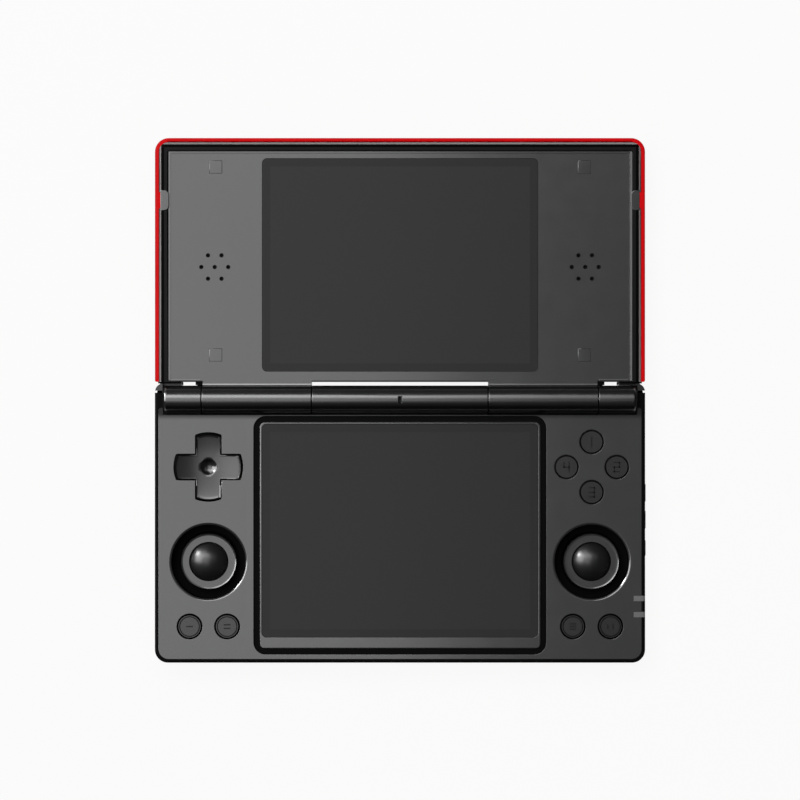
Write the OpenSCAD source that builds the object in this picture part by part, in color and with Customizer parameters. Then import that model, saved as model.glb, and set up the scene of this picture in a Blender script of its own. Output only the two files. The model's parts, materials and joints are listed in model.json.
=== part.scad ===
// Clamshell handheld game console, open flat.
// The origin is on the table below the middle of the hinge axis.
// +X is the player's right, +Y points to the far edge of the lid, +Z is up.

/* [Casing] */
// Thickness of floors and decks
skin = 1.2; // [1:0.1:1.4]
// Thickness of the side walls
side_wall = 1.6; // [1.2:0.1:1.8]
// Thickness of the grey faceplates
face_t = 0.8; // [0.6:0.1:1]
// Height of the bottom cover's walls
cover_h = 6.4; // [6.4:0.1:7]
// Room between a side wall and the ring of a stick
side_room = 2.95; // [2.95:0.05:6]
// Strip between the ring of a stick and the groove round the lower screen
ring_strip = 1.8; // [1:0.1:5]
// Strip between that groove and the front edge
front_strip = 2.7; // [2.5:0.1:8]
// Radius of the corners away from the hinge, seen from above
front_corner_r = 4.5; // [3:0.5:8]
// Radius of the base corners beside the hinge, seen from above
rear_corner_r = 2.6; // [1:0.1:2.8]
// Rounding of the lower edges
under_edge_r = 2; // [1:0.1:2.5]
// Rounding of the top rim of the base
top_edge_r = 0.8; // [0.3:0.1:1]
// Width of the black border round the base faceplate
border_w = 1.2; // [1:0.1:1.6]
// Height of the rubber feet below the underside
foot_h = 0.5; // [0.3:0.1:1.5]
// Radius of a rubber foot
foot_r = 3.6; // [3:0.1:4]

/* [Hinge] */
// Radius of the hinge barrel
barrel_r = 4.6; // [4.4:0.1:5]
// Half the length of the middle barrel, which is part of the base
centre_seam_x = 28.7; // [20:0.1:34]
// Distance from the side of the casing to the outer seam of the hinge
end_seam_in = 15.4; // [13:0.1:17]
// Distance from the side of the casing to the end of the hinge barrel
barrel_end_in = 2.9; // [2.7:0.1:4]
// Gap between two barrel sections, end to end
seam_gap = 0.2; // [0.1:0.05:0.4]
// Gap between the turning knuckle and the trough under it
swing_gap = 0.3; // [0.2:0.05:0.5]
// Radius of the steel hinge pin
pin_r = 1.5; // [1:0.1:2]
// Running clearance of a pin in its bore
pin_clear = 0.05; // [0.02:0.01:0.1]
// Radius of the friction clutch
clutch_r = 3; // [2.6:0.1:3.4]
// Length of the friction clutch
clutch_len = 14; // [10:0.5:20]
// Length of a hinge pin
pin_len = 16; // [14:0.5:18]

/* [Lid] */
// Open slot between the barrel and the near edge of the lid
hinge_slot = 1.2; // [1.1:0.1:2]
// How much shorter the lid is than the base, at the edge away from the hinge
lid_short = 0.45; // [0:0.05:1]
// Thickness of the lid
lid_t = 8.2; // [8:0.1:9]
// Gap left between lid and base when the lid is closed
closed_gap = 0.3; // [0.2:0.1:0.8]
// Width of the red rim round the lid
rim_w = 1.3; // [1:0.1:1.6]
// Width of the black lip inside the rim
lip_w = 3; // [2:0.1:4]
// Depth of the grey panel below the lip
panel_recess = 1.2; // [1.1:0.1:1.4]
// Chamfer on the outer edge of the lip
lip_edge = 0.7; // [0.3:0.1:1]
// Rounding of the lid's back edges
back_edge_r = 3; // [1:0.1:3.2]
// Length of a side tab
tab_len = 6.6; // [4:0.1:10]
// Distance from the far edge of the lid to the middle of the side tabs
tab_in = 20.35; // [14:0.05:35]
// Length of the red lug beside a tab
lug_len = 5.2; // [3:0.1:6]
// Side of a square pad over a lid screw
pad_side = 4.2; // [3.9:0.1:5]
// Distance from the side of the casing to the middle of a pad
pad_in = 19.8; // [16:0.1:24]
// Distance from the near edge of the lid to the near pads
near_pad_in = 8.8; // [7:0.1:14]
// Distance from the far edge of the lid to the far pads
far_pad_in = 9.4; // [8.4:0.1:15]
// Width of the raised edge round the grey panel
bead_w = 0.7; // [0.4:0.1:1]
// Height of that edge above the panel
bead_h = 0.3; // [0.1:0.05:0.5]

/* [Screens] */
// Width of a screen's lens
lens_w = 90; // [88:0.5:90]
// Height of a screen's lens
lens_h = 69.5; // [68:0.5:70]
// Corner radius of a lens
lens_corner_r = 1.6; // [0.5:0.1:3]
// Thickness of a lens
lens_t = 0.7; // [0.5:0.1:0.7]
// Gap round a lens
lens_gap = 0.1; // [0.05:0.05:0.2]
// How far a display panel ends inside its lens, at each side
lcd_in_x = 2; // [2:0.5:4]
// How far a display panel ends inside its lens, at front and rear
lcd_in_y = 1.75; // [1.75:0.25:4]
// Thickness of a display panel
lcd_t = 2.4; // [1.6:0.1:2.6]
// Distance from the near edge of the lid to the upper lens
upper_strip = 3.45; // [2.5:0.05:5]
// Side bars of the raised frame round the lower screen
frame_side = 0.9; // [0.6:0.1:2]
// Rear bar of the frame
frame_rear = 0.8; // [0.6:0.1:2]
// Front bar of the frame
frame_front = 3.8; // [2:0.1:6]
// Corner radius of the frame
island_r = 2.3; // [1:0.1:4]
// Edge chamfer of the frame
island_edge = 0.35; // [0.1:0.05:0.5]
// Width of the groove round the frame
groove_w = 1.85; // [1.2:0.05:3]
// Strip of faceplate behind the groove
groove_strip = 0.4; // [0.3:0.1:2]
// Corner radius of the groove's outer edge
groove_r = 4; // [2:0.1:6]

/* [Controls] */
// How far pad and buttons sit behind the middle of their strip
pad_back = 0.45; // [0:0.05:1]
// Span of the direction pad
dpad_span = 22; // [20:0.1:23]
// Width of a direction pad arm
dpad_arm = 7.9; // [7:0.1:8.5]
// Rounding of the arms' outer corners
dpad_corner_r = 1.1; // [0.4:0.1:2]
// Gap round the direction pad
dpad_gap = 0.35; // [0.3:0.05:0.6]
// Distance of a face button from the middle of the four
button_offset = 8.2; // [8:0.1:9]
// Radius of a face button
button_r = 3.8; // [3.4:0.1:4]
// Gap round a button
button_gap = 0.25; // [0.15:0.05:0.3]
// Height of a face button above the faceplate
button_rise = 0.6; // [0.2:0.1:0.8]
// Travel of a face button
button_travel = 0.8; // [0.5:0.1:0.8]
// Distance from the front edge to the menu buttons
menu_in = 11.85; // [11:0.05:12.5]
// Distance between two menu buttons
menu_pitch = 12.25; // [11:0.05:12.5]
// Radius of a menu button
menu_r = 3.95; // [3.5:0.05:4]
// Height of a menu button above the faceplate
menu_rise = 0.2; // [0.1:0.1:0.6]
// Travel of a menu button
menu_travel = 0.5; // [0.3:0.1:0.6]

/* [Sticks] */
// Strip between the ring of a stick and the menu buttons
menu_strip = 3.95; // [3:0.05:5]
// Radius of the opening round a stick
well_r = 12.15; // [11.6:0.05:12.4]
// Wall of the ring that lines the opening
well_wall = 0.8; // [0.6:0.1:0.9]
// Radius of the stick's disc
disc_r = 9.15; // [8:0.05:9.4]
// Height of the disc's rim below the top face
disc_drop = 1.9; // [1.8:0.1:2.2]
// Radius of the dark dome on the disc
dome_r = 6; // [5:0.05:6.8]
// Height of the dome above the dish of the disc
dome_h = 3.1; // [2:0.1:3.3]
// Width of the chamfer at the edge of the opening
well_edge = 0.4; // [0.1:0.05:0.6]
// Height of the stick's pivot above the bottom cover's floor
pivot_h = 3.3; // [3.2:0.1:3.5]
// Side of the square stick housing
gimbal_w = 13.5; // [13.2:0.1:14]

/* [Edge controls] */
// Length of a volume button
volume_len = 5.7; // [5:0.1:6.5]
// Length of the power button
power_len = 4.9; // [4:0.1:6]
// Height of the side buttons
side_button_h = 2.2; // [1.6:0.1:2.4]
// How far the side buttons stand out
side_button_out = 0.3; // [0.25:0.05:0.6]
// Travel of a side button
side_travel = 0.25; // [0.15:0.05:0.25]
// Distance from the middle of the stick back to the power button
power_back = 4.4; // [3.5:0.05:5]
// Distance from the power button back to the volume down button
volume_back = 9.25; // [8:0.05:11]
// Distance between the volume buttons
volume_pitch = 8.8; // [7.5:0.05:11]
// Travel of a shoulder button
shoulder_travel = 0.6; // [0.4:0.1:0.6]
// Distance from the side of the casing to the outer shoulder button's inner end
outer_shoulder_in = 8.6; // [8:0.1:9.5]
// Distance from the side of the casing to the inner shoulder button's outer end
inner_shoulder_in = 13.5; // [13.3:0.1:15]
// Length of the inner shoulder button
inner_shoulder_len = 16.5; // [12:0.1:18]
// Width of an indicator window
led_w = 1.75; // [1.2:0.05:2.5]
// Length of an indicator window across the rim
led_len = 3.8; // [3:0.1:5]
// Distance from the menu buttons back to the front indicator window
led_back = 3.9; // [3:0.05:5]
// Distance between the indicator windows
led_pitch = 5.25; // [3:0.05:6]

/* [Ports] */
// Width of the charging socket
usb_w = 9; // [8:0.1:10]
// Height of the charging socket
usb_h = 3.2; // [2.8:0.1:3.4]
// Radius of the headphone bore
jack_r = 1.75; // [1.25:0.05:1.9]
// Distance of the headphone socket left of the middle
jack_x = 23; // [15:1:30]
// Distance of the card slot right of the middle
card_x = 22; // [15:1:30]
// Width of the card slot
card_w = 12.4; // [11:0.1:14]

/* [Inside] */
// Thickness of the circuit board
board_t = 1; // [0.8:0.1:1.2]
// Height of the board's underside above the cover's floor
board_h = 3.7; // [3.6:0.1:3.8]
// Room between the board and the deck, for keys and domes
key_room = 4.6; // [4.6:0.1:7]
// Length of the front sockets
socket_len = 11; // [9:0.5:12]
// Width of the battery
battery_w = 64; // [40:1:70]
// Distance from the hinge axis to the battery
battery_rear = 18; // [16:0.5:30]
// Thickness of the battery
battery_t = 5.5; // [3:0.1:5.5]
// Radius of a speaker
speaker_r = 7.5; // [6:0.1:8]
// Distance from the side of the casing to the middle of a speaker
speaker_in = 19.5; // [18:0.1:20]
// How far the speakers sit behind the middle of the screen
speaker_back = 0.7; // [-5:0.1:5]
// Distance between two sound holes
sound_pitch = 4.4; // [3:0.1:5]
// Radius of a sound hole
sound_hole_r = 0.7; // [0.4:0.05:0.9]
// Radius of a screw shank
screw_r = 1; // [0.8:0.05:1.1]
// Radius of a screw head
screw_head_r = 1.8; // [1.6:0.05:2]

/* [Hidden] */
$fn = 64;

// Overlap of a cutting shape past the face that it cuts, of one fused shape in another,
// and of two drawn areas that meet
cut = 1;
bite = 0.2;
touch = 0.01;

// Heights in the base
z_under = foot_h;
z_floor = z_under + skin;
z_part = z_under + cover_h;
z_board = z_floor + board_h;
z_board_top = z_board + board_t;
z_deck = z_board_top + key_room;
z_face = z_deck + skin;
z_top = z_face + face_t;
z_axis = z_top;
z_pivot = z_floor + pivot_h;

// Heights in the open lid
z_lip = z_axis - closed_gap;
z_back = z_lip - lid_t;
z_lid_floor = z_back + skin;
z_panel = z_lip - panel_recess;
z_lid_face = z_panel - face_t;
z_lid_deck = z_lid_face - skin;

// Sizes across the casing, from the middle out: screen, frame, groove, ring, side wall
ring_r = well_r + well_wall;
island_w = lens_w + 2 * frame_side;
lcd_w = lens_w - 2 * lcd_in_x;
half_w = island_w / 2 + groove_w + ring_strip + 2 * ring_r + side_room + side_wall;
casing_w = 2 * half_w;
wall_x = half_w - side_wall;
control_x = wall_x - side_room - ring_r;
end_seam_x = half_w - end_seam_in;
barrel_end_x = half_w - barrel_end_in;

// Distances from the hinge axis to the front edge of the base
fit_gap = 0.05;
trough_r = barrel_r + swing_gap;
plate_rear = trough_r + fit_gap;
island_near = plate_rear + groove_strip + groove_w;
lower_screen_y = island_near + frame_rear + lens_h / 2;
lcd_h = lens_h - 2 * lcd_in_y;
island_far = lower_screen_y + lens_h / 2 + frame_front;
base_reach = island_far + groove_w + front_strip;
wall_y = base_reach - side_wall;
menu_y = base_reach - menu_in;
stick_y = menu_y - menu_r - button_gap - menu_strip - ring_r;
pad_y = (plate_rear + stick_y - ring_r) / 2 - pad_back;
rear_y = barrel_r;
rear_wall_y = rear_y - side_wall;

// Distances from the hinge axis to the far edge of the lid
lid_near = rear_y + hinge_slot;
lid_reach = base_reach - lid_short;
upper_screen_y = lid_near + upper_strip + lens_h / 2;
tab_y = lid_reach - tab_in;

// Draws a rectangle whose corners are rounded by r = [lower left, lower right, upper right, upper left].
module round_rect(x0, x1, y0, y1, r) {
  difference() {
    translate([x0, y0]) square([x1 - x0, y1 - y0]);
    corner_notch(x0, y0, 1, 1, r[0]);
    corner_notch(x1, y0, -1, 1, r[1]);
    corner_notch(x1, y1, -1, -1, r[2]);
    corner_notch(x0, y1, 1, -1, r[3]);
  }
}

// What a rounded corner at (x, y) takes away; the inside lies towards (sx, sy).
module corner_notch(x, y, sx, sy, r) {
  if (r > 0)
    translate([x, y]) mirror([sx < 0 ? 1 : 0, 0]) mirror([0, sy < 0 ? 1 : 0]) difference() {
      translate([-cut, -cut]) square(r + cut);
      translate([r, r]) circle(r);
    }
}

// A rectangle centred on the Y axis, from y0 to y1, with equal corners
module plate(w, y0, y1, r) {
  round_rect(-w / 2, w / 2, y0, y1, [r, r, r, r]);
}

// Extrude a drawing upwards, or one drawn in (y, z) along X, or one drawn in (x, z) along Y.
module along_z(z0, z1) {
  translate([0, 0, z0]) linear_extrude(z1 - z0) children();
}
module along_x(x0, x1) {
  translate([x0, 0, 0]) rotate([90, 0, 90]) linear_extrude(x1 - x0) children();
}
module along_y(y0, y1) {
  translate([0, y1, 0]) rotate([90, 0, 0]) linear_extrude(y1 - y0) children();
}

// A box given by its two corners
module span(x0, x1, y0, y1, z0, z1) {
  translate([x0, y0, z0]) cube([x1 - x0, y1 - y0, z1 - z0]);
}

// Upright cylinder, and a rod along X
module post(x, y, r, z0, z1) {
  translate([x, y, z0]) cylinder(r = r, h = z1 - z0);
}
module rod_x(x0, x1, y, z, r) {
  translate([x0, y, z]) rotate([0, 90, 0]) cylinder(r = r, h = x1 - x0);
}
module rod_y(y0, y1, x, z, r) {
  translate([x, y1, z]) rotate([90, 0, 0]) cylinder(r = r, h = y1 - y0);
}

// Draws its children on the right and mirrored on the left.
module both_sides() {
  children();
  mirror([1, 0, 0]) children();
}

// Four places round the middle of a control
module four_places(offset) {
  for (a = [0:90:270])
    rotate(a) translate([offset, 0, 0]) children();
}

// The base

front_screw = [6, 5.35];
rear_screw = [5.5, 9.5];
inner_screw = [4.5, 14.5];
screw_places = [
  [half_w - front_screw[0], -base_reach + front_screw[1]],
  [half_w - rear_screw[0], -rear_screw[1]],
  [lcd_w / 2 + inner_screw[0], -pad_y - inner_screw[1]]
];
boss_r = screw_r + 1.5;
screw_hole_r = screw_r + 0.15;
screw_head_h = 1.2;
screw_end = z_deck - 1;
foot_sink = 0.4;
foot_in = 17;
front_foot = 9;
rear_foot = 2;
foot_places = [[half_w - foot_in, -base_reach + front_foot], [half_w - foot_in, -rear_foot]];
knuckle_x0 = centre_seam_x + seam_gap / 2;
knuckle_x1 = end_seam_x - seam_gap / 2;
trough_x0 = centre_seam_x - seam_gap / 2;
trough_x1 = end_seam_x + seam_gap / 2;
shelf_top = z_axis - trough_r;

// Shoulder buttons
shoulder_z0 = z_under + 2.4;
inner_shoulder_z1 = z_part - 0.3;
outer_shoulder_z1 = z_part + 1.1;
shoulder_gap = 0.2;
outer_shoulder_x = half_w - outer_shoulder_in;
inner_shoulder_x1 = half_w - inner_shoulder_in;
inner_shoulder_x0 = inner_shoulder_x1 - inner_shoulder_len;
shoulder_back = lid_near - 0.4;
outer_cap_y = rear_y - 1.65;
outer_cut_y = outer_cap_y - shoulder_travel - 0.1;

// Side buttons
side_z = (z_board_top + z_deck) / 2 + 0.5;
side_flange = 0.6;
side_flange_t = 0.8;
side_gap = 0.12;
power_y = stick_y - power_back;
volume_down_y = power_y - volume_back;
volume_up_y = volume_down_y - volume_pitch;
side_places = [volume_up_y, volume_down_y, power_y];
side_lens = [volume_len, volume_len, power_len];

// Ports
usb_z = z_board - usb_h / 2;
jack_z = z_floor + 2.4;
jack_nose_r = jack_r + 0.45;
card_h = 2.1;
card_slot_h = 1.6;
card_z = z_board - card_h / 2;

// The casing's outer form, with all its edges rounded
module base_block() {
  intersection() {
    along_z(z_under, z_top)
      round_rect(-half_w, half_w, -base_reach, rear_y,
        [front_corner_r, front_corner_r, rear_corner_r, rear_corner_r]);
    along_y(-base_reach - cut, rear_y + cut)
      round_rect(-half_w, half_w, z_under, z_top,
        [under_edge_r, under_edge_r, top_edge_r, top_edge_r]);
    along_x(-half_w - cut, half_w + cut)
      round_rect(-base_reach, rear_y, z_under, z_top, [under_edge_r, under_edge_r, 0, top_edge_r]);
  }
}

// The space inside the side walls
module base_inside(z0, z1) {
  corner = front_corner_r - side_wall;
  along_z(z0, z1) round_rect(-wall_x, wall_x, -wall_y, rear_wall_y, [corner, corner, 1, 1]);
}

// Openings in the rear and side walls for the shoulder buttons
module shoulder_openings() {
  both_sides() {
    span(inner_shoulder_x0 - shoulder_gap, inner_shoulder_x1 + shoulder_gap,
      rear_wall_y - cut, rear_y + cut, shoulder_z0 - shoulder_gap, inner_shoulder_z1 + shoulder_gap);
    span(outer_shoulder_x - shoulder_gap, half_w + cut, outer_cut_y, rear_y + cut,
      shoulder_z0 - shoulder_gap, outer_shoulder_z1 + shoulder_gap);
    span(barrel_end_x + shoulder_gap, half_w + cut, outer_cut_y, rear_y + cut,
      outer_shoulder_z1, z_top + cut);
  }
}

// Slots in the right wall for the volume and power buttons
module side_openings() {
  for (i = [0:2])
    span(wall_x - cut, half_w + cut, -side_places[i] - side_lens[i] / 2 - side_gap,
      -side_places[i] + side_lens[i] / 2 + side_gap, side_z - side_button_h / 2 - side_gap,
      side_z + side_button_h / 2 + side_gap);
}

// Slots for the two indicator windows
led_front_y = menu_y - led_back;
led_rear_y = led_front_y - led_pitch;
module led_slots(x0) {
  for (y = [led_rear_y, led_front_y])
    span(x0, half_w + cut, -y - led_w / 2, -y + led_w / 2, z_deck, z_top + cut);
}

module bottom_cover() {
  color("firebrick") difference() {
    union() {
      difference() {
        intersection() {
          base_block();
          along_z(z_under, z_part) square(4 * casing_w, center = true);
        }
        base_inside(z_floor, z_part + cut);
      }
      for (p = screw_places)
        both_sides() post(p[0], p[1], boss_r, z_floor - bite, z_board);
      both_sides() gimbal_seat();
      battery_ribs();
    }
    for (p = screw_places)
      both_sides() {
        post(p[0], p[1], screw_hole_r, z_under, z_board + cut);
        post(p[0], p[1], screw_head_r + 0.15, z_under - cut, z_under + screw_head_h);
      }
    for (p = foot_places)
      both_sides() post(p[0], p[1], foot_r, z_under - cut, z_under + foot_sink);
    shoulder_openings();
    span(-usb_w / 2 - 0.15, usb_w / 2 + 0.15, rear_wall_y - cut, rear_y + cut,
      usb_z - usb_h / 2 - 0.15, usb_z + usb_h / 2 + 0.15);
    rod_y(-base_reach - cut, -wall_y + cut, -jack_x, jack_z, jack_nose_r + 0.1);
    span(card_x - card_w / 2, card_x + card_w / 2, -base_reach - cut, -wall_y + cut,
      card_z - card_slot_h / 2, card_z + card_slot_h / 2);
  }
}

// A raised seat for the stick housing
seat_t = 0.5;
module gimbal_seat() {
  span(control_x - gimbal_w / 2, control_x + gimbal_w / 2, -stick_y - gimbal_w / 2,
    -stick_y + gimbal_w / 2, z_floor - bite, z_floor + seat_t);
}

// The battery lies between the board's rear part and the front sockets, in low ribs
battery_clear = 1.25;
battery_front = wall_y - socket_len - battery_clear;
rib_t = 0.8;
rib_gap = 0.2;
rib_h = 2;
module battery_outline(grow, corner) {
  plate(battery_w + 2 * grow, -battery_front - grow, -battery_rear + grow, corner);
}
module battery_ribs() {
  difference() {
    along_z(z_floor - bite, z_floor + rib_h) battery_outline(rib_gap + rib_t, 0);
    along_z(z_floor - cut, z_floor + rib_h + cut) battery_outline(rib_gap, 0);
    span(-battery_w / 4, battery_w / 4, -base_reach, 0, z_floor - cut, z_floor + rib_h + cut);
  }
}

// The plus shape of the direction pad, grown by gap
module plus_shape(gap) {
  long = dpad_span / 2 + gap;
  wide = dpad_arm / 2 + gap;
  r = dpad_corner_r + gap;
  intersection() {
    union() {
      round_rect(-long, long, -wide, wide, [r, r, r, r]);
      round_rect(-wide, wide, -long, long, [r, r, r, r]);
    }
    circle(long);
  }
}

// The holes for pad, buttons and sticks, drawn at their places
module control_holes(well) {
  translate([-control_x, -pad_y]) plus_shape(dpad_gap);
  translate([control_x, -pad_y])
    for (a = [0:90:270])
      rotate(a) translate([button_offset, 0]) circle(button_r + button_gap);
  for (side = [-1, 1]) {
    translate([side * control_x, -stick_y]) circle(well);
    for (k = [-0.5, 0.5])
      translate([side * control_x + k * menu_pitch, -menu_y]) circle(menu_r + button_gap);
  }
}

groove_near = island_near - groove_w;
groove_far = island_far + groove_w;
plate_x = half_w - border_w;
plate_y = base_reach - border_w;
horn_gap = 0.2;
horn_reach = 2.3;

// Outline of the base faceplate, with a small horn beside each end of the hinge barrel
module faceplate_outline(grow) {
  corner = front_corner_r - border_w;
  round_rect(-plate_x - grow, plate_x + grow, -plate_y - grow, -plate_rear, [corner, corner, 0, 0]);
  both_sides()
    round_rect(barrel_end_x + horn_gap - grow, plate_x + grow, -plate_rear - cut,
      -plate_rear + horn_reach + grow, [0, 0, 1, 0.4]);
}

module top_shell() {
  color([0.07, 0.07, 0.075]) difference() {
    union() {
      difference() {
        intersection() {
          base_block();
          along_z(z_part, z_top) square(4 * casing_w, center = true);
        }
        base_inside(z_part - cut, z_deck);
      }
      trough_walls();
      for (p = screw_places)
        both_sides() post(p[0], p[1], boss_r - 0.2, z_board_top, z_deck + bite);
      rod_x(-trough_x0, trough_x0, 0, z_axis, barrel_r);
      both_sides() end_barrel();
    }
    along_z(z_face, z_top + cut) faceplate_outline(fit_gap);
    along_z(z_deck - cut, z_face + cut) {
      control_holes(ring_r + fit_gap);
      lcd_outline(-lower_screen_y, lcd_gap);
    }
    both_sides() trough_cut();
    for (p = screw_places)
      both_sides() post(p[0], p[1], screw_r, z_board_top - cut, screw_end);
    rod_x(-trough_x0 - cut, trough_x0 + cut, 0, z_axis, stub_bore_r);
    both_sides() rod_x(trough_x1 - cut, pin_x1, 0, z_axis, pin_r);
    span(-mic_slot_w / 2, mic_slot_w / 2, -mic_slot_l / 2, mic_slot_l / 2,
      z_axis + 1, z_axis + barrel_r + cut);
    shoulder_openings();
    side_openings();
    led_slots(half_w - led_len);
  }
}

// Walls that close the casing under and before the turning knuckles
module trough_walls() {
  intersection() {
    along_z(z_part, z_top) square(4 * casing_w, center = true);
    both_sides() {
      difference() {
        rod_x(trough_x0 - skin, trough_x1 + skin, 0, z_axis, trough_r + skin);
        span(0, casing_w, 0, casing_w, 0, 2 * z_axis);
      }
      span(trough_x0 - skin, trough_x1 + skin, -0.1, rear_y, shelf_top - skin, shelf_top);
    }
  }
}

// The room that a knuckle and its neck turn in
module trough_cut() {
  rod_x(trough_x0, trough_x1, 0, z_axis, trough_r);
  span(trough_x0, trough_x1, 0, rear_y + cut, shelf_top, z_top + cut);
}

// The closed outer end of the hinge barrel
end_round = 1.2;
module end_barrel() {
  translate([trough_x1, 0, z_axis]) rotate([0, 90, 0]) rotate_extrude()
    round_rect(0, barrel_r, 0, barrel_end_x - trough_x1, [0, 0, end_round, 0]);
}

module base_faceplate() {
  color([0.34, 0.34, 0.35]) difference() {
    along_z(z_face, z_top) difference() {
      faceplate_outline(0);
      control_holes(well_r);
      plate(island_w + 2 * groove_w, -groove_far, -groove_near, groove_r);
    }
    led_slots(half_w - led_len);
    for (side = [-1, 1])
      at_stick(side) translate([0, 0, z_top - well_edge])
        cylinder(r1 = well_r, r2 = well_r + well_edge + bite, h = well_edge + bite);
  }
}

module lower_screen_frame() {
  color([0.36, 0.36, 0.37]) difference() {
    intersection() {
      along_z(z_face, z_top) plate(island_w, -island_far, -island_near, island_r);
      along_y(-island_far, -island_near) chamfered(-island_w / 2, island_w / 2);
      along_x(-island_w, island_w) chamfered(-island_far, -island_near);
    }
    along_z(z_face - cut, z_top + cut) lens_outline(-lower_screen_y, lens_gap);
  }
}

// Section of the raised frame, with its upper edges cut back
module chamfered(u0, u1) {
  polygon([[u0, z_face], [u1, z_face], [u1, z_top - island_edge], [u1 - island_edge, z_top],
    [u0 + island_edge, z_top], [u0, z_top - island_edge]]);
}

module lens_outline(y, grow) {
  plate(lens_w + 2 * grow, y - lens_h / 2 - grow, y + lens_h / 2 + grow, lens_corner_r + grow);
}

module lower_lens() {
  color([0.17, 0.17, 0.18]) along_z(z_face, z_face + lens_t) lens_outline(-lower_screen_y, 0);
}

// Outline of a display panel
lcd_gap = 0.2;
module lcd_outline(y, grow) {
  plate(lcd_w + 2 * grow, y - lcd_h / 2 - grow, y + lcd_h / 2 + grow, grow);
}

module lower_display() {
  color([0.1, 0.1, 0.12]) along_z(z_face - lcd_t, z_face) lcd_outline(-lower_screen_y, 0);
}

// Outline of the circuit board: a frame round battery and sticks
board_edge = 1.5;
battery_board_gap = 1.2;
module board_outline() {
  difference() {
    plate(2 * (wall_x - board_edge), -wall_y + 1, -1, 2);
    battery_outline(battery_board_gap, 0);
    for (side = [-1, 1])
      translate([side * control_x, -stick_y]) circle(ring_r + 0.2);
    for (p = screw_places, side = [-1, 1])
      translate([side * p[0], p[1]]) circle(screw_r + 0.2);
    translate([-jack_x, -wall_y]) square([jack_w + 0.4, 2 * socket_len + 1], center = true);
  }
}

// Chips and connectors: [x, y, width, length, height]
chips = [[0, -9, 14, 11, 1.3], [17, -9, 10, 9, 1.1], [-17, -9, 9, 10, 1.1], [-28, -8, 5, 7, 1.4],
  [28, -8, 6, 6, 1.4], [0, 5.25 - wall_y, 18, 4, 1.6]];
module main_board() {
  color([0.05, 0.25, 0.15]) {
    along_z(z_board, z_board_top) board_outline();
    for (c = chips)
      span(c[0] - c[2] / 2, c[0] + c[2] / 2, c[1] - c[3] / 2, c[1] + c[3] / 2,
        z_board_top - bite, z_board_top + c[4]);
  }
}

module battery() {
  color([0.25, 0.3, 0.45]) along_z(z_floor, z_floor + battery_t) battery_outline(0, 2);
}

// Rubber sheet with one dome at each place
web_t = 0.5;
pad_z = z_deck - 2;
dome_top = pad_z - 0.85;
dpad_dome_r = 2.2;
dpad_dome_in = 3.5;
face_dome_r = 2.6;
menu_dome_r = 2.4;
module rubber_dome(r) {
  z0 = z_board_top + web_t - bite;
  translate([0, 0, z0]) cylinder(r1 = r, r2 = 0.7 * r, h = dome_top - z0);
}

bracket_w = 6.8;
module dpad_membrane() {
  color("dimgray") translate([-control_x, -pad_y]) {
    along_z(z_board_top, z_board_top + web_t) difference() {
      circle(dpad_span / 2 + 1);
      circle(bracket_w / 2 + 1);
    }
    four_places(dpad_span / 2 - dpad_dome_in) rubber_dome(dpad_dome_r);
  }
}

module face_membrane() {
  color("dimgray") translate([control_x, -pad_y]) {
    along_z(z_board_top, z_board_top + web_t)
      for (a = [0, 90])
        rotate(a) round_rect(-button_offset - button_r, button_offset + button_r, -button_r, button_r,
          [2, 2, 2, 2]);
    four_places(button_offset) rubber_dome(face_dome_r);
  }
}

module menu_membrane() {
  color("dimgray") both_sides() translate([control_x, -menu_y]) {
    along_z(z_board_top, z_board_top + web_t)
      plate(menu_pitch + 2 * menu_r, -menu_r, menu_r, 2);
    for (k = [-0.5, 0.5])
      translate([k * menu_pitch, 0]) rubber_dome(menu_dome_r);
  }
}

// Direction pad: a bracket on the board, a cross-shaped pivot and the pad
pin_small = 0.5;
ear_x = 2.4;
ear_t = 0.9;
hub_w = 2.4;
bracket_room_r = 4.6;
dpad_flange_r = dpad_span / 2 - 2;
pad_low = z_top - 0.2;
dish = 0.7;
dish_r = (dpad_span * dpad_span / 4 + dish * dish) / (2 * dish);
thumb_r = 2.9;
thumb_depth = 1.5;

module dpad_bracket() {
  color("silver") translate([-control_x, -pad_y]) difference() {
    union() {
      span(-bracket_w / 2, bracket_w / 2, -1.8, 1.8, z_board_top, z_board_top + 1);
      both_sides() span(ear_x, ear_x + ear_t, -1.2, 1.2, z_board_top, pad_z + 0.9);
    }
    rod_x(-bracket_w, bracket_w, 0, pad_z, pin_small + pin_clear);
  }
}

module dpad_pivot() {
  color("silver") translate([-control_x, -pad_y]) {
    translate([0, 0, pad_z]) cube(hub_w, center = true);
    rod_x(-ear_x - ear_t, ear_x + ear_t, 0, pad_z, pin_small);
    rod_y(-ear_x - ear_t, ear_x + ear_t, 0, pad_z, pin_small);
  }
}

// Half the section of the pad: dished, with a thumb hollow and a bevelled rim
module dpad_section() {
  tip = dpad_span / 2;
  rim_z = pad_low + dish;
  difference() {
    polygon([[0, pad_z + 0.3], [tip, pad_z + 0.3], [tip, rim_z - 0.4], [tip - 0.3, rim_z], [0, rim_z]]);
    translate([0, pad_low + dish_r]) circle(dish_r, $fn = 720);
    translate([0, pad_low + thumb_r - thumb_depth]) circle(thumb_r);
  }
}

module dpad() {
  color([0.16, 0.16, 0.17]) translate([-control_x, -pad_y]) difference() {
    union() {
      intersection() {
        along_z(pad_z, z_top + cut) plus_shape(0);
        rotate_extrude() dpad_section();
      }
      post(0, 0, dpad_flange_r, pad_z + 0.3, pad_z + 1);
      dpad_lugs(pad_z - 0.9, pad_z + 1.5);
    }
    difference() {
      post(0, 0, bracket_room_r, pad_z - cut, pad_z + 1.3);
      dpad_lugs(pad_z - 2, pad_z + 2);
    }
    rod_y(-bracket_w, bracket_w, 0, pad_z, pin_small + pin_clear);
  }
}

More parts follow.
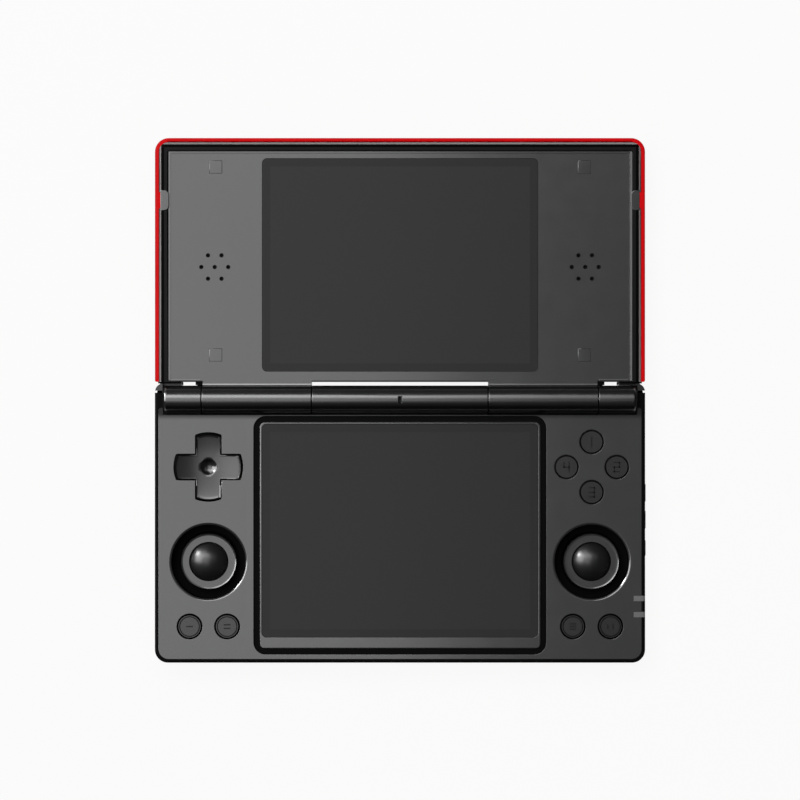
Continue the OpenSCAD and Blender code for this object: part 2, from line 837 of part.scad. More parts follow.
// Two lugs that hold the pad on its pivot
module dpad_lugs(z0, z1) {
  for (s = [-1, 1])
    translate([0, s * (ear_x + ear_t / 2), 0]) span(-1.2, 1.2, -ear_t / 2, ear_t / 2, z0, z1);
}

// A round button with a flange that keeps it in, its top edge rounded off
button_edge = 0.35;
flange_t = 0.7;
module round_button(r, z_low, z_high, groove) {
  flange_r = r + button_gap + 0.7;
  rotate_extrude() difference() {
    polygon([[0, z_low], [r - 1, z_low], [r - 1, z_deck - 0.05 - flange_t],
      [flange_r, z_deck - 0.05 - flange_t], [flange_r, z_deck - 0.05], [r, z_deck - 0.05],
      [r, z_high - button_edge], [r - button_edge, z_high], [0, z_high]]);
    if (groove > 0)
      translate([r - groove - 0.15, z_high - 0.25]) square([0.3, 0.25 + cut]);
  }
}

face_low = dome_top + button_travel + 0.05;
module face_button(angle) {
  color([0.33, 0.33, 0.34]) translate([control_x, -pad_y]) rotate(angle) translate([button_offset, 0])
    round_button(button_r, face_low, z_top + button_rise, 0);
}
module top_face_button() { face_button(90); }
module right_face_button() { face_button(0); }
module bottom_face_button() { face_button(-90); }
module left_face_button() { face_button(180); }

menu_low = dome_top + menu_travel + 0.05;
module menu_button(side, k) {
  color([0.33, 0.33, 0.34]) translate([side * control_x + k * menu_pitch, -menu_y])
    round_button(menu_r, menu_low, z_top + menu_rise, 0.75);
}
module outer_left_menu_button() { menu_button(-1, -0.5); }
module inner_left_menu_button() { menu_button(-1, 0.5); }
module inner_right_menu_button() { menu_button(1, -0.5); }
module outer_right_menu_button() { menu_button(1, 0.5); }

// The sticks: a housing, a carrier that slides when the stick is pressed, a yoke and the stick
housing_wall = 0.8;
housing_z = z_floor + seat_t;
housing_top = z_pivot + 1.2;
slide_gap = 0.1;
carrier_w = gimbal_w - 2 * (housing_wall + slide_gap);
carrier_wall = 1.2;
carrier_low = z_pivot - 1.6;
yoke_r = 3.9;
yoke_hole = 2.9;
yoke_h = 1.4;
stem_r = 1.6;
stem_pin_r = 0.45;
disc_top = z_top - disc_drop;
disc_t = 1;
dish_z = disc_top - 0.5;
rim_t = 0.4;
dome_groove = 0.4;
dome_seat = dish_z - 0.4;
ring_floor = housing_top - 0.95;

module at_stick(side) {
  translate([side * control_x, -stick_y]) children();
}

module stick_rings() {
  inner = gimbal_w / sqrt(2) + 0.2;
  color([0.05, 0.05, 0.055])
    for (side = [-1, 1])
      at_stick(side) rotate_extrude()
        polygon([[inner, ring_floor], [ring_r, ring_floor], [ring_r, z_face], [well_r, z_face],
          [well_r, ring_floor + 0.6], [inner, ring_floor + 0.6]]);
}

module stick_housings() {
  inner = gimbal_w - 2 * housing_wall;
  color("gray") for (side = [-1, 1])
    at_stick(side) difference() {
      along_z(housing_z, housing_top) square(gimbal_w, center = true);
      along_z(housing_z + 0.4, housing_top + cut) square(inner, center = true);
    }
}

module stick_carrier(side) {
  inner = carrier_w - 2 * carrier_wall;
  color("lightgray") at_stick(side) difference() {
    along_z(carrier_low, z_pivot + 1) difference() {
      square(carrier_w, center = true);
      square(inner, center = true);
    }
    rod_x(-gimbal_w, gimbal_w, 0, z_pivot, pin_small + pin_clear);
  }
}
module left_stick_carrier() { stick_carrier(-1); }
module right_stick_carrier() { stick_carrier(1); }

module stick_yoke(side) {
  color("silver") at_stick(side) difference() {
    union() {
      post(0, 0, yoke_r, z_pivot - yoke_h / 2, z_pivot + yoke_h / 2);
      rod_x(-carrier_w / 2, carrier_w / 2, 0, z_pivot, pin_small);
    }
    post(0, 0, yoke_hole, z_pivot - yoke_h, z_pivot + yoke_h);
    rod_y(-yoke_r - cut, yoke_r + cut, 0, z_pivot, stem_pin_r + pin_clear);
  }
}
module left_stick_yoke() { stick_yoke(-1); }
module right_stick_yoke() { stick_yoke(1); }

module stick(side) {
  color([0.33, 0.33, 0.34]) at_stick(side) {
    rotate_extrude()
      polygon([[0, z_pivot - 0.8], [stem_r, z_pivot - 0.8], [stem_r, z_pivot + 2.6],
        [stem_r + 2.4, disc_top - 1.9], [disc_r - 0.4, disc_top - disc_t],
        [disc_r, disc_top - disc_t + 0.4], [disc_r, disc_top - 0.2], [disc_r - 0.2, disc_top],
        [disc_r - rim_t, disc_top], [disc_r - rim_t - 0.5, dish_z], [dome_r + dome_groove, dish_z],
        [dome_r + dome_groove, dome_seat], [0, dome_seat]]);
    rod_y(-yoke_r + 0.2, yoke_r - 0.2, 0, z_pivot, stem_pin_r);
  }
}
module left_stick() { stick(-1); }
module right_stick() { stick(1); }

module stick_dome(side) {
  sphere_r = (dome_r * dome_r + dome_h * dome_h) / (2 * dome_h);
  color([0.1, 0.1, 0.11]) at_stick(side) rotate_extrude() {
    translate([0, dome_seat]) square([dome_r, dish_z - dome_seat + touch]);
    intersection() {
      translate([0, dish_z + dome_h - sphere_r]) circle(sphere_r);
      translate([0, dish_z]) square([dome_r, dome_h]);
    }
  }
}
module left_stick_dome() { stick_dome(-1); }
module right_stick_dome() { stick_dome(1); }

// Buttons on the right side, each with a flange behind the wall
module side_button(i) {
  y = -side_places[i];
  l = side_lens[i] / 2;
  color([0.08, 0.08, 0.085]) {
    along_x(wall_x - side_flange_t / 2, half_w + side_button_out)
      round_rect(y - l, y + l, side_z - side_button_h / 2, side_z + side_button_h / 2,
        [0.6, 0.6, 0.6, 0.6]);
    span(wall_x - 0.1 - side_flange_t, wall_x - 0.1, y - l - side_flange, y + l + side_flange,
      side_z - side_button_h / 2 - side_flange, side_z + side_button_h / 2 + 0.3);
  }
}
module volume_up_button() { side_button(0); }
module volume_down_button() { side_button(1); }
module power_button() { side_button(2); }

// Shoulder buttons: a cap with a flange or a stem behind it
module outer_shoulder() {
  corner = rear_corner_r;
  stem_in = 0.8;
  color([0.08, 0.08, 0.085]) {
    along_z(shoulder_z0, outer_shoulder_z1)
      round_rect(outer_shoulder_x, half_w - 0.1, outer_cap_y, shoulder_back - 0.15,
        [0, 0, corner, 0.8]);
    along_z(outer_shoulder_z1 - 0.1, z_top - 0.4) intersection() {
      round_rect(outer_shoulder_x, half_w - 0.1, outer_cap_y, shoulder_back - 0.15,
        [0, 0, corner, 0.8]);
      translate([barrel_end_x + 2 * shoulder_gap, 0]) square(front_corner_r + rear_y);
    }
    span(outer_shoulder_x + stem_in, wall_x - 0.5, outer_cap_y - 2.2, outer_cap_y + 0.1,
      shoulder_z0 + 0.4, outer_shoulder_z1 - 0.4);
  }
}
module inner_shoulder() {
  color([0.08, 0.08, 0.085]) {
    along_z(shoulder_z0, inner_shoulder_z1)
      round_rect(inner_shoulder_x0, inner_shoulder_x1, rear_wall_y - 0.2, shoulder_back, [0, 0, 0.8, 0.8]);
    span(inner_shoulder_x0 - 0.6, inner_shoulder_x1 + 0.5, rear_wall_y - 1, rear_wall_y - 0.1,
      shoulder_z0 - 0.5, inner_shoulder_z1);
  }
}
module right_outer_shoulder() { outer_shoulder(); }
module left_outer_shoulder() { mirror([1, 0, 0]) outer_shoulder(); }
module right_inner_shoulder() { inner_shoulder(); }
module left_inner_shoulder() { mirror([1, 0, 0]) inner_shoulder(); }

// Switches behind the shoulder and side buttons
module key_switches() {
  inner_y = rear_wall_y - 1 - shoulder_travel - 0.1;
  outer_y = outer_cap_y - 2.2 - shoulder_travel - 0.1;
  side_x = wall_x - 0.9 - side_travel - 0.05;
  color([0.75, 0.75, 0.72]) {
    both_sides() {
      span((inner_shoulder_x0 + inner_shoulder_x1) / 2 - 3, (inner_shoulder_x0 + inner_shoulder_x1) / 2 + 3,
        -4, inner_y, shoulder_z0, z_board);
      span(wall_x - 5.4, wall_x - 1.4, -4, outer_y, shoulder_z0, z_board);
    }
    for (y = side_places)
      span(side_x - 1.8, side_x, -y - 1.6, -y + 1.6, z_board_top, side_z + 1);
  }
}

module led_windows() {
  color([0.75, 0.76, 0.78]) intersection() {
    for (y = [led_rear_y, led_front_y])
      span(half_w - led_len, half_w, -y - led_w / 2, -y + led_w / 2, z_deck, z_top);
    along_y(-base_reach, 0)
      round_rect(-half_w, half_w, z_under, z_top, [0, 0, top_edge_r, top_edge_r]);
  }
}

module rubber_feet() {
  color([0.12, 0.12, 0.12])
    for (p = foot_places)
      both_sides() post(p[0], p[1], foot_r - 0.1, 0, z_under + foot_sink);
}

// Screws with a cross recess
screw_head_t = 0.9;
module screw(x, y, z0, z1) {
  color("dimgray") difference() {
    union() {
      post(x, y, screw_head_r, z0, z0 + screw_head_t);
      post(x, y, screw_r, z0, z1);
    }
    span(x - 1.1, x + 1.1, y - 0.2, y + 0.2, z0 - cut, z0 + 0.5);
    span(x - 0.2, x + 0.2, y - 1.1, y + 1.1, z0 - cut, z0 + 0.5);
  }
}
module base_screws() {
  for (p = screw_places)
    both_sides() screw(p[0], p[1], z_under + 0.3, screw_end);
}

// Charging socket on the underside of the board
usb_len = 7.3;
module usb_socket() {
  y1 = rear_y - 0.3;
  color("silver") difference() {
    along_y(y1 - usb_len, y1)
      round_rect(-usb_w / 2, usb_w / 2, usb_z - usb_h / 2, usb_z + usb_h / 2,
        [usb_h / 2 - 0.05, usb_h / 2 - 0.05, usb_h / 2 - 0.05, usb_h / 2 - 0.05]);
    along_y(y1 - usb_len + 1, y1 + cut) difference() {
      round_rect(-usb_w / 2 + 0.3, usb_w / 2 - 0.3, usb_z - usb_h / 2 + 0.3, usb_z + usb_h / 2 - 0.3,
        [1.2, 1.2, 1.2, 1.2]);
      translate([0, usb_z]) square([usb_w - 2.6, 0.7], center = true);
    }
  }
}

jack_w = 6;
module headphone_socket() {
  color([0.1, 0.1, 0.1]) difference() {
    union() {
      span(-jack_x - jack_w / 2, -jack_x + jack_w / 2, -wall_y + 0.1, -wall_y + socket_len,
        z_floor, jack_z + 2.4);
      rod_y(-base_reach, -wall_y + 0.2, -jack_x, jack_z, jack_nose_r);
    }
    rod_y(-base_reach - cut, -wall_y + socket_len + cut, -jack_x, jack_z, jack_r);
  }
}

module card_socket() {
  color("silver") difference() {
    span(card_x - card_w / 2 - 1, card_x + card_w / 2 + 1, -wall_y + 0.1, -wall_y + socket_len,
      z_board - card_h, z_board);
    span(card_x - card_w / 2, card_x + card_w / 2, -wall_y - cut, -wall_y + socket_len - 1,
      card_z - 0.5, card_z + 0.5);
  }
}

mic_slot_w = 1;
mic_slot_l = 2.3;
stub_r = 2.5;
stub_bore_r = stub_r + pin_clear;
mic_z = z_axis + stub_bore_r - 0.25;
module microphone() {
  color([0.7, 0.6, 0.4]) span(-2, 2, -0.9, 0.9, mic_z - 1.1, mic_z);
}

pin_x1 = trough_x1 + 7.5;
module hinge_pins() {
  color("silver") both_sides() rod_x(pin_x1 - pin_len, pin_x1, 0, z_axis, pin_r);
}

// The lid

lid_edge_x = half_w - rim_w;
lid_edge_y = lid_reach - rim_w;
panel_x = lid_edge_x - lip_w;
panel_y = lid_edge_y - lip_w;
frame_fit = 0.05;
neck_y = lid_near + skin;
lid_wall = 1.2;
speaker_x = half_w - speaker_in;
pad_x = half_w - pad_in;
pad_ys = [lid_near + near_pad_in, lid_reach - far_pad_in];
speaker_y = upper_screen_y - speaker_back;
speaker_h = z_lid_deck - z_lid_floor - 0.4;
tab_w = 2.8;
tab_r = 1.6;
tab_x1 = lid_edge_x - 0.5;
lug_h = 3;
pad_sink = 0.4;
lid_head_z = z_panel - pad_sink - 0.1 - screw_head_t;

// The lid's outer form
module lid_block(z0, z1) {
  corner = front_corner_r;
  intersection() {
    along_z(z0, z1) round_rect(-half_w, half_w, lid_near, lid_reach, [0.6, 0.6, corner, corner]);
    along_y(lid_near - cut, lid_reach + cut)
      round_rect(-half_w, half_w, z_back, z_lip, [back_edge_r, back_edge_r, 0, 0]);
    along_x(-half_w - cut, half_w + cut)
      round_rect(lid_near, lid_reach, z_back, z_lip, [back_edge_r, back_edge_r, 0, 0]);
  }
}

rim_top = z_lip - 0.3;
module lid_cover() {
  inner = front_corner_r - rim_w;
  color("crimson") {
    difference() {
      lid_block(z_back, rim_top);
      along_z(z_lid_floor, z_lip + cut)
        round_rect(-lid_edge_x, lid_edge_x, lid_near - cut, lid_edge_y, [0, 0, inner, inner]);
    }
    for (y = pad_ys)
      both_sides() difference() {
        post(pad_x, y, screw_r + 1.2, z_lid_floor - bite, z_lid_deck);
        post(pad_x, y, screw_r, z_lid_floor + 0.4, z_lid_deck + cut);
      }
    both_sides() tab_lug(0, rim_top);
  }
}

// A lug of the red cover that shows beside the tab
module tab_lug(grow, z1) {
  span(tab_x1 - grow, lid_edge_x + 0.1, tab_y - lug_len / 2 - grow, tab_y + lug_len / 2 + grow,
    rim_top - lug_h - grow, z1);
}

// Section of the black frame, its outer upper edges cut back
module lipped(u0, u1, edge0) {
  polygon([[u0, z_lid_floor], [u1, z_lid_floor], [u1, z_lip - lip_edge], [u1 - lip_edge, z_lip],
    [u0 + edge0, z_lip], [u0, z_lip - edge0]]);
}

module frame_block() {
  x = lid_edge_x - frame_fit;
  y = lid_edge_y - frame_fit;
  corner = front_corner_r - rim_w - frame_fit;
  intersection() {
    along_z(z_lid_floor, z_lip) round_rect(-x, x, lid_near, y, [0.3, 0.3, corner, corner]);
    along_y(lid_near - cut, y + cut) lipped(-x, x, lip_edge);
    along_x(-x - cut, x + cut) lipped(lid_near, y, 0);
  }
}

module lid_frame() {
  x_in = lid_edge_x - frame_fit - lid_wall;
  color([0.07, 0.07, 0.075]) difference() {
    union() {
      difference() {
        frame_block();
        along_z(z_lid_floor - cut, z_lid_deck)
          round_rect(-x_in, x_in, neck_y, lid_edge_y - frame_fit - lid_wall, [0, 0, 1.5, 1.5]);
      }
      both_sides() knuckle();
    }
    along_z(z_lid_face, z_lip + cut) panel_outline(fit_gap);
    along_z(z_lid_deck - cut, z_lid_face + cut) {
      lcd_outline(upper_screen_y, lcd_gap);
      for (side = [-1, 1])
        translate([side * speaker_x, speaker_y]) circle(speaker_r - 1);
    }
    for (y = pad_ys)
      both_sides() {
        post(pad_x, y, screw_hole_r, z_lid_deck - cut, z_lid_face + cut);
        post(pad_x, y, screw_head_r + 0.15, lid_head_z, z_lid_face + cut);
      }
    both_sides() {
      tab_form(tab_gap, z_lip - tab_h - tab_gap);
      tab_lug(tab_gap, z_lip + cut);
      rod_x(knuckle_x1 - clutch_len, knuckle_x1 + cut, 0, z_axis, clutch_r);
      rod_x(knuckle_x0 - 10, knuckle_x1, 0, z_axis, pin_r + 0.3);
    }
  }
}

// A turning barrel section with its neck and the hollow stub that runs in the middle barrel
module knuckle() {
  rod_x(knuckle_x0, knuckle_x1, 0, z_axis, barrel_r);
  rod_x(knuckle_x0 - 4, knuckle_x0 + 1, 0, z_axis, stub_r);
  span(knuckle_x0, knuckle_x1, 0, neck_y, z_axis - barrel_r, z_panel);
}

// Outline of the grey panel, which runs on to the barrel beside the knuckles
module panel_outline(grow) {
  near = lid_near + 0.4;
  round_rect(-panel_x - grow, panel_x + grow, near - grow, panel_y + grow, [0.3, 0.3, 0.6, 0.6]);
  for (side = [-1, 1])
    translate([side * (knuckle_x0 + knuckle_x1) / 2, near])
      square([knuckle_x1 - knuckle_x0 - 0.1 + 2 * grow, 2 * (near - barrel_r - 0.3 + grow)], center = true);
}

module sound_holes() {
  for (side = [-1, 1])
    translate([side * speaker_x, speaker_y]) {
      circle(sound_hole_r);
      for (a = [0:60:300])
        rotate(a) translate([sound_pitch, 0]) circle(sound_hole_r);
    }
}

module lid_faceplate() {
  color([0.36, 0.36, 0.37]) difference() {
    along_z(z_lid_face, z_panel + bead_h) difference() {
      panel_outline(0);
      lens_outline(upper_screen_y, lens_gap);
      sound_holes();
      for (side = [-1, 1], y = pad_ys)
        translate([side * pad_x, y]) circle(screw_head_r + 0.15);
    }
    inside_bead();
    for (side = [-1, 1], y = pad_ys)
      translate([side * pad_x, y, z_panel - pad_sink]) along_z(0, 1) square(pad_side + 0.1, center = true);
    both_sides() tab_form(tab_gap, z_lid_face - cut);
  }
}

// The space over the panel, inside its raised edge
module inside_bead() {
  intersection() {
    along_y(0, panel_y) tray(-panel_x, panel_x, bead_w);
    along_x(-panel_x, panel_x) tray(-panel_y, panel_y, bead_w);
  }
}
module tray(u0, u1, edge) {
  polygon([[u0 + edge, z_panel], [u1 - edge, z_panel], [u1, z_panel + bead_h], [u1, z_lip + cut],
    [u0, z_lip + cut], [u0, z_panel + bead_h]]);
}

module lid_pads() {
  color([0.35, 0.35, 0.36])
    for (side = [-1, 1], y = pad_ys)
      translate([side * pad_x, y, z_panel - pad_sink]) along_z(0, pad_sink) square(pad_side, center = true);
}

module lid_screws() {
  for (y = pad_ys)
    both_sides() translate([0, 0, z_panel - pad_sink + z_lid_floor + 0.5]) mirror([0, 0, 1])
      screw(pad_x, y, z_lid_floor + 0.5, z_panel - pad_sink - 0.1);
}

// Side tabs on the lip, their inner ends rounded
tab_h = 1;
tab_gap = 0.05;
module tab_form(grow, z0) {
  along_z(z0, z_lip + (grow > 0 ? cut : 0))
    round_rect(tab_x1 - tab_w - grow, tab_x1 + grow, tab_y - tab_len / 2 - grow, tab_y + tab_len / 2 + grow,
      [tab_r, 0, 0, tab_r]);
}
module lid_tabs() {
  color([0.34, 0.34, 0.35]) both_sides() tab_form(0, z_lip - tab_h);
}

module upper_lens() {
  color([0.19, 0.19, 0.2]) along_z(z_lid_face, z_lid_face + lens_t) lens_outline(upper_screen_y, 0);
}

module upper_display() {
  color([0.1, 0.1, 0.12]) along_z(z_lid_face - lcd_t, z_lid_face) lcd_outline(upper_screen_y, 0);
}

module speaker(side) {
  color([0.2, 0.2, 0.2]) translate([side * speaker_x, speaker_y, z_lid_deck - speaker_h]) rotate_extrude()
    polygon([[0, 0], [speaker_r - 1, 0], [speaker_r - 1, 1], [speaker_r, 1], [speaker_r, speaker_h],
      [speaker_r - 1.2, speaker_h], [speaker_r - 1.2, speaker_h - 0.5], [2.5, speaker_h - 0.9],
      [0, speaker_h - 0.5]]);
}
module left_speaker() { speaker(-1); }
module right_speaker() { speaker(1); }

magnet = [6, 3, 2];
module lid_magnet() {
  color("silver") translate([-panel_x + 3, panel_y - 5, z_lid_floor]) cube(magnet);
}

module hinge_clutches() {
  color("gold") both_sides() difference() {
    rod_x(knuckle_x1 - clutch_len, knuckle_x1 - 0.2, 0, z_axis, clutch_r);
    rod_x(knuckle_x1 - clutch_len - cut, knuckle_x1 + cut, 0, z_axis, pin_r + pin_clear);
  }
}

bottom_cover();
top_shell();
base_faceplate();
lower_screen_frame();
lower_lens();
lower_display();
main_board();
battery();
dpad_membrane();
dpad_bracket();
face_membrane();
menu_membrane();
stick_rings();
stick_housings();
rubber_feet();
base_screws();
usb_socket();
headphone_socket();
card_socket();
led_windows();
key_switches();
hinge_pins();
microphone();
lid_cover();
lid_frame();
lid_faceplate();
upper_lens();
upper_display();
left_speaker();
right_speaker();
lid_pads();
lid_tabs();
lid_screws();
lid_magnet();
hinge_clutches();
dpad_pivot();
dpad();
top_face_button();
right_face_button();
bottom_face_button();
left_face_button();
outer_left_menu_button();
inner_left_menu_button();
inner_right_menu_button();
outer_right_menu_button();
volume_up_button();
volume_down_button();
power_button();
left_outer_shoulder();
left_inner_shoulder();
right_outer_shoulder();
right_inner_shoulder();
left_stick_carrier();
left_stick_yoke();
left_stick();
left_stick_dome();
right_stick_carrier();
right_stick_yoke();
right_stick();
right_stick_dome();
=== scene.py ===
"""Looks of a clamshell handheld game console, lying open, seen straight from above."""
import json
import math

import bmesh
import bpy
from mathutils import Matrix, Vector


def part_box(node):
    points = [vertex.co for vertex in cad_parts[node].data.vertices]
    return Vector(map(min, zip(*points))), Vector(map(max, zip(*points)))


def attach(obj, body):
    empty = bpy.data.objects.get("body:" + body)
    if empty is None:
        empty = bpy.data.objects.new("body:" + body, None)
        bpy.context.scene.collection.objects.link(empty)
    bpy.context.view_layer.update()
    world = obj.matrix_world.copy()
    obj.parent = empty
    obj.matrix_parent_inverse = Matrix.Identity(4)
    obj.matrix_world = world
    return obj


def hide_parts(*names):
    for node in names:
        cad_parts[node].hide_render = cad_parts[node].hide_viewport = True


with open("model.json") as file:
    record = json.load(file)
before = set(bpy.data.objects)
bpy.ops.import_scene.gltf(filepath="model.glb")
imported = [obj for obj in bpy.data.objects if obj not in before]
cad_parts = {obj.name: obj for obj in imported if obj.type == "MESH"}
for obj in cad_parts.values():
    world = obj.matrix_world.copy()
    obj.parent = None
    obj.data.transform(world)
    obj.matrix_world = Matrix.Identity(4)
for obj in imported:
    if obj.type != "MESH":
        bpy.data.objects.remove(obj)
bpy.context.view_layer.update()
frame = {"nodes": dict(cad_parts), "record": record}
nodes = frame["nodes"]
node_body = {n: b for b, names in frame["record"]["behaviour"]["bodies"].items() for n in names}
node_slot = {s["node"]: s["material_slot"] for s in frame["record"]["subparts"]}

MM = 0.001
TOP_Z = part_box("base_faceplate")[1].z
AXIS_Z = sum(v.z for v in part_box("hinge_pins")) / 2
BARREL_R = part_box("lid_frame")[1].z - AXIS_Z
LID_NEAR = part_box("lid_cover")[0].y


# Shader helpers

def new_material(name):
    """A material with a Principled shader; returns it with its node tree and shader."""
    material = bpy.data.materials.new(name)
    material.use_nodes = True
    tree = material.node_tree
    shader = tree.nodes["Principled BSDF"]
    return material, tree, shader


def add_node(tree, kind, **values):
    """Adds a shader node; a value named after an input sets it, any other sets a property."""
    node = tree.nodes.new(kind)
    for key, value in values.items():
        if key in node.inputs:
            node.inputs[key].default_value = value
        else:
            setattr(node, key, value)
    return node


def local_point(tree):
    """The point on the piece in its own frame, in metres."""
    return add_node(tree, "ShaderNodeTexCoord").outputs["Object"]


def axes(tree, vector):
    """The outputs X, Y and Z of a vector."""
    split = add_node(tree, "ShaderNodeSeparateXYZ")
    tree.links.new(vector, split.inputs["Vector"])
    return split.outputs


def combined(tree, operation, *values):
    """A maths node on values that are outputs of other nodes or plain numbers."""
    node = add_node(tree, "ShaderNodeMath", operation=operation)
    for socket, value in zip(node.inputs, values):
        if isinstance(value, float):
            socket.default_value = value
        else:
            tree.links.new(value, socket)
    return node.outputs[0]


def noise(tree, scale, detail=2.0):
    texture = add_node(tree, "ShaderNodeTexNoise", Scale=scale, Detail=detail)
    tree.links.new(local_point(tree), texture.inputs["Vector"])
    return texture.outputs["Fac"]


def ramp(tree, source, start, end, low=0.0, high=1.0):
    """Maps start..end of a value to low..high."""
    mapped = add_node(tree, "ShaderNodeMapRange")
    for name, value in (("From Min", start), ("From Max", end), ("To Min", low), ("To Max", high)):
        mapped.inputs[name].default_value = value
    tree.links.new(source, mapped.inputs["Value"])
    return mapped.outputs["Result"]


def spread(tree, source, low, high):
    """Maps the middle of a noise's range to low..high."""
    return ramp(tree, source, 0.3, 0.7, low, high)


def tone(color, factor):
    """A colour made lighter or darker, with alpha."""
    return [min(1.0, c * factor) for c in color] + [1.0]


def mottled(tree, shader, color, scale, amount):
    """A base colour that drifts a little lighter and darker."""
    mix = add_node(tree, "ShaderNodeMix", data_type="RGBA")
    mix.inputs["A"].default_value = tone(color, 1 - amount)
    mix.inputs["B"].default_value = tone(color, 1 + amount)
    tree.links.new(spread(tree, noise(tree, scale, 4.0), 0.0, 1.0), mix.inputs["Factor"])
    tree.links.new(mix.outputs["Result"], shader.inputs["Base Color"])


def grained(tree, shader, scale, depth):
    """The fine grain of a moulded or sprayed surface."""
    bump = add_node(tree, "ShaderNodeBump", Strength=1.0, Distance=depth)
    tree.links.new(noise(tree, scale, 3.0), bump.inputs["Height"])
    tree.links.new(bump.outputs["Normal"], shader.inputs["Normal"])


def plastic(name, color, roughness, gloss=0.5, grain=2500.0, depth=2e-6, drift=0.05):
    """Moulded or painted plastic: drifting colour, fine grain and uneven roughness."""
    material, tree, shader = new_material(name)
    mottled(tree, shader, color, 60.0, drift)
    grained(tree, shader, grain, depth)
    tree.links.new(spread(tree, noise(tree, 180.0), roughness * 0.93, roughness * 1.07),
                   shader.inputs["Roughness"])
    shader.inputs["Specular IOR Level"].default_value = gloss
    return material


def metal(name, color, roughness):
    """Plated metal with a fine turned or rolled grain."""
    material, tree, shader = new_material(name)
    mottled(tree, shader, color, 90.0, 0.06)
    grained(tree, shader, 900.0, 2e-6)
    tree.links.new(spread(tree, noise(tree, 300.0), roughness * 0.8, roughness * 1.2),
                   shader.inputs["Roughness"])
    shader.inputs["Metallic"].default_value = 1.0
    return material


def deck_with_painted_shade(name, color, roughness, gloss):
    """Panel plastic whose sheen is turned down by position beside the hinge barrel: a painted
    shade.
    """
    material = plastic(name, color, roughness, gloss, grain=3200.0, drift=0.03)
    tree = material.node_tree
    along = axes(tree, local_point(tree))["Y"]
    # Painted shade: the sheen falls to a tenth of its gloss towards the hinge barrel
    sheen = ramp(tree, along, SHADE_START, SHADE_END, 0.1 * gloss, gloss)
    tree.links.new(sheen, tree.nodes["Principled BSDF"].inputs["Specular IOR Level"])
    return material


def inside_box(tree, centre, half):
    """1 where the point lies within half of centre along X and Y, otherwise 0."""
    point = axes(tree, local_point(tree))
    near = []
    for i, axis in enumerate("XY"):
        offset = combined(tree, "SUBTRACT", point[axis], centre[i])
        size = combined(tree, "ABSOLUTE", offset)
        near.append(combined(tree, "LESS_THAN", size, half[i]))
    return combined(tree, "MULTIPLY", *near)


def lens_glass(node, color, border_color):
    """Dark cover glass whose printed border is a shade darker than the display behind it."""
    material, tree, shader = new_material(node)
    low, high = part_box(node)
    half = (high - low) / 2
    window = inside_box(tree, (low + high) / 2, [half.x - LENS_BORDER, half.y - LENS_BORDER])
    mix = add_node(tree, "ShaderNodeMix", data_type="RGBA")
    mix.inputs["A"].default_value = border_color + [1.0]
    mix.inputs["B"].default_value = color + [1.0]
    tree.links.new(window, mix.inputs["Factor"])
    tree.links.new(mix.outputs["Result"], shader.inputs["Base Color"])
    grained(tree, shader, 1800.0, 5e-7)
    tree.links.new(spread(tree, noise(tree, 40.0), 0.16, 0.2), shader.inputs["Roughness"])
    shader.inputs["Specular IOR Level"].default_value = 0.054
    return material


# Materials by finish

LENS_BORDER = 2.6 * MM
# Where the painted shade beside the hinge barrel starts and ends along Y
SHADE_START, SHADE_END = -4.8 * MM, -6.6 * MM
GREY = [0.0215, 0.0217, 0.022]
RED = [0.6, 0.0025, 0.005]
FINISHES = {
    "red_casing": plastic("red_casing", RED, 0.35, 0.028, drift=0.04),
    "black_casing": plastic("black_casing", [0.002, 0.002, 0.0022], 0.45, 0.022),
    "matte_lip": plastic("matte_lip", [0.003, 0.003, 0.0032], 0.5, 0.062),
    # A darker, duller copy of the lip's black for its outer strip: painted shade
    "lip_painted_shade": plastic("lip_painted_shade", [0.0012, 0.0012, 0.0013], 0.5, 0.012),
    "grey_trim": plastic("grey_trim", [0.25, 0.235, 0.235], 0.4, 0.3, drift=0.03),
    "hinge_black": plastic("hinge_black", [0.001, 0.001, 0.0011], 0.22, 0.81, grain=1800.0),
    "grey_panel": plastic("grey_panel", GREY, 0.15, 0.74, grain=3200.0, drift=0.03),
    # The base's panel grey, with a painted shade beside the hinge barrel
    "grey_deck_painted_shade": deck_with_painted_shade("grey_deck_painted_shade", GREY, 0.15, 0.74),
    "grey_disc": plastic("grey_disc", GREY, 0.17, 0.67),
    "grey_button": plastic("grey_button", [0.0125, 0.0125, 0.0127], 0.2, 0.42),
    "button_mark": plastic("button_mark", [0.007, 0.007, 0.0072], 0.3, 0.15),
    "dark_pad": plastic("dark_pad", [0.002, 0.002, 0.0021], 0.2, 0.54, drift=0.03),
    "dark_button": plastic("dark_button", [0.004, 0.004, 0.0043], 0.25, 0.4, drift=0.03),
    "dome_black": plastic("dome_black", [0.007, 0.007, 0.0072], 0.33, 0.36, drift=0.03),
    # Black for the sides of gaps, hollows and the inside of the casing: painted shade
    "inner_black": plastic("inner_black", [0.002, 0.002, 0.002], 0.6, 0.03),
    "rubber": plastic("rubber", [0.02, 0.02, 0.02], 0.75, 0.3, grain=1500.0, depth=1e-5),
    "circuit_board": plastic("circuit_board", [0.01, 0.09, 0.04], 0.35, 0.5),
    "battery_foil": metal("battery_foil", [0.4, 0.42, 0.45], 0.45),
    "steel": metal("steel", [0.55, 0.55, 0.56], 0.3),
    "brass": metal("brass", [0.62, 0.45, 0.18], 0.3),
    "white_plastic": plastic("white_plastic", [0.6, 0.6, 0.57], 0.5),
    "indicator": plastic("indicator", [0.125, 0.125, 0.128], 0.4, 0.3),
    "speaker": plastic("speaker", [0.02, 0.02, 0.02], 0.7, 0.3),
    "display": plastic("display", [0.01, 0.01, 0.011], 0.3, 0.4),
}
LENSES = {
    "upper_lens": lens_glass("upper_lens", [0.036, 0.036, 0.036], [0.030, 0.030, 0.030]),
    "lower_lens": lens_glass("lower_lens", [0.0335, 0.0335, 0.0335], [0.029, 0.029, 0.029]),
}
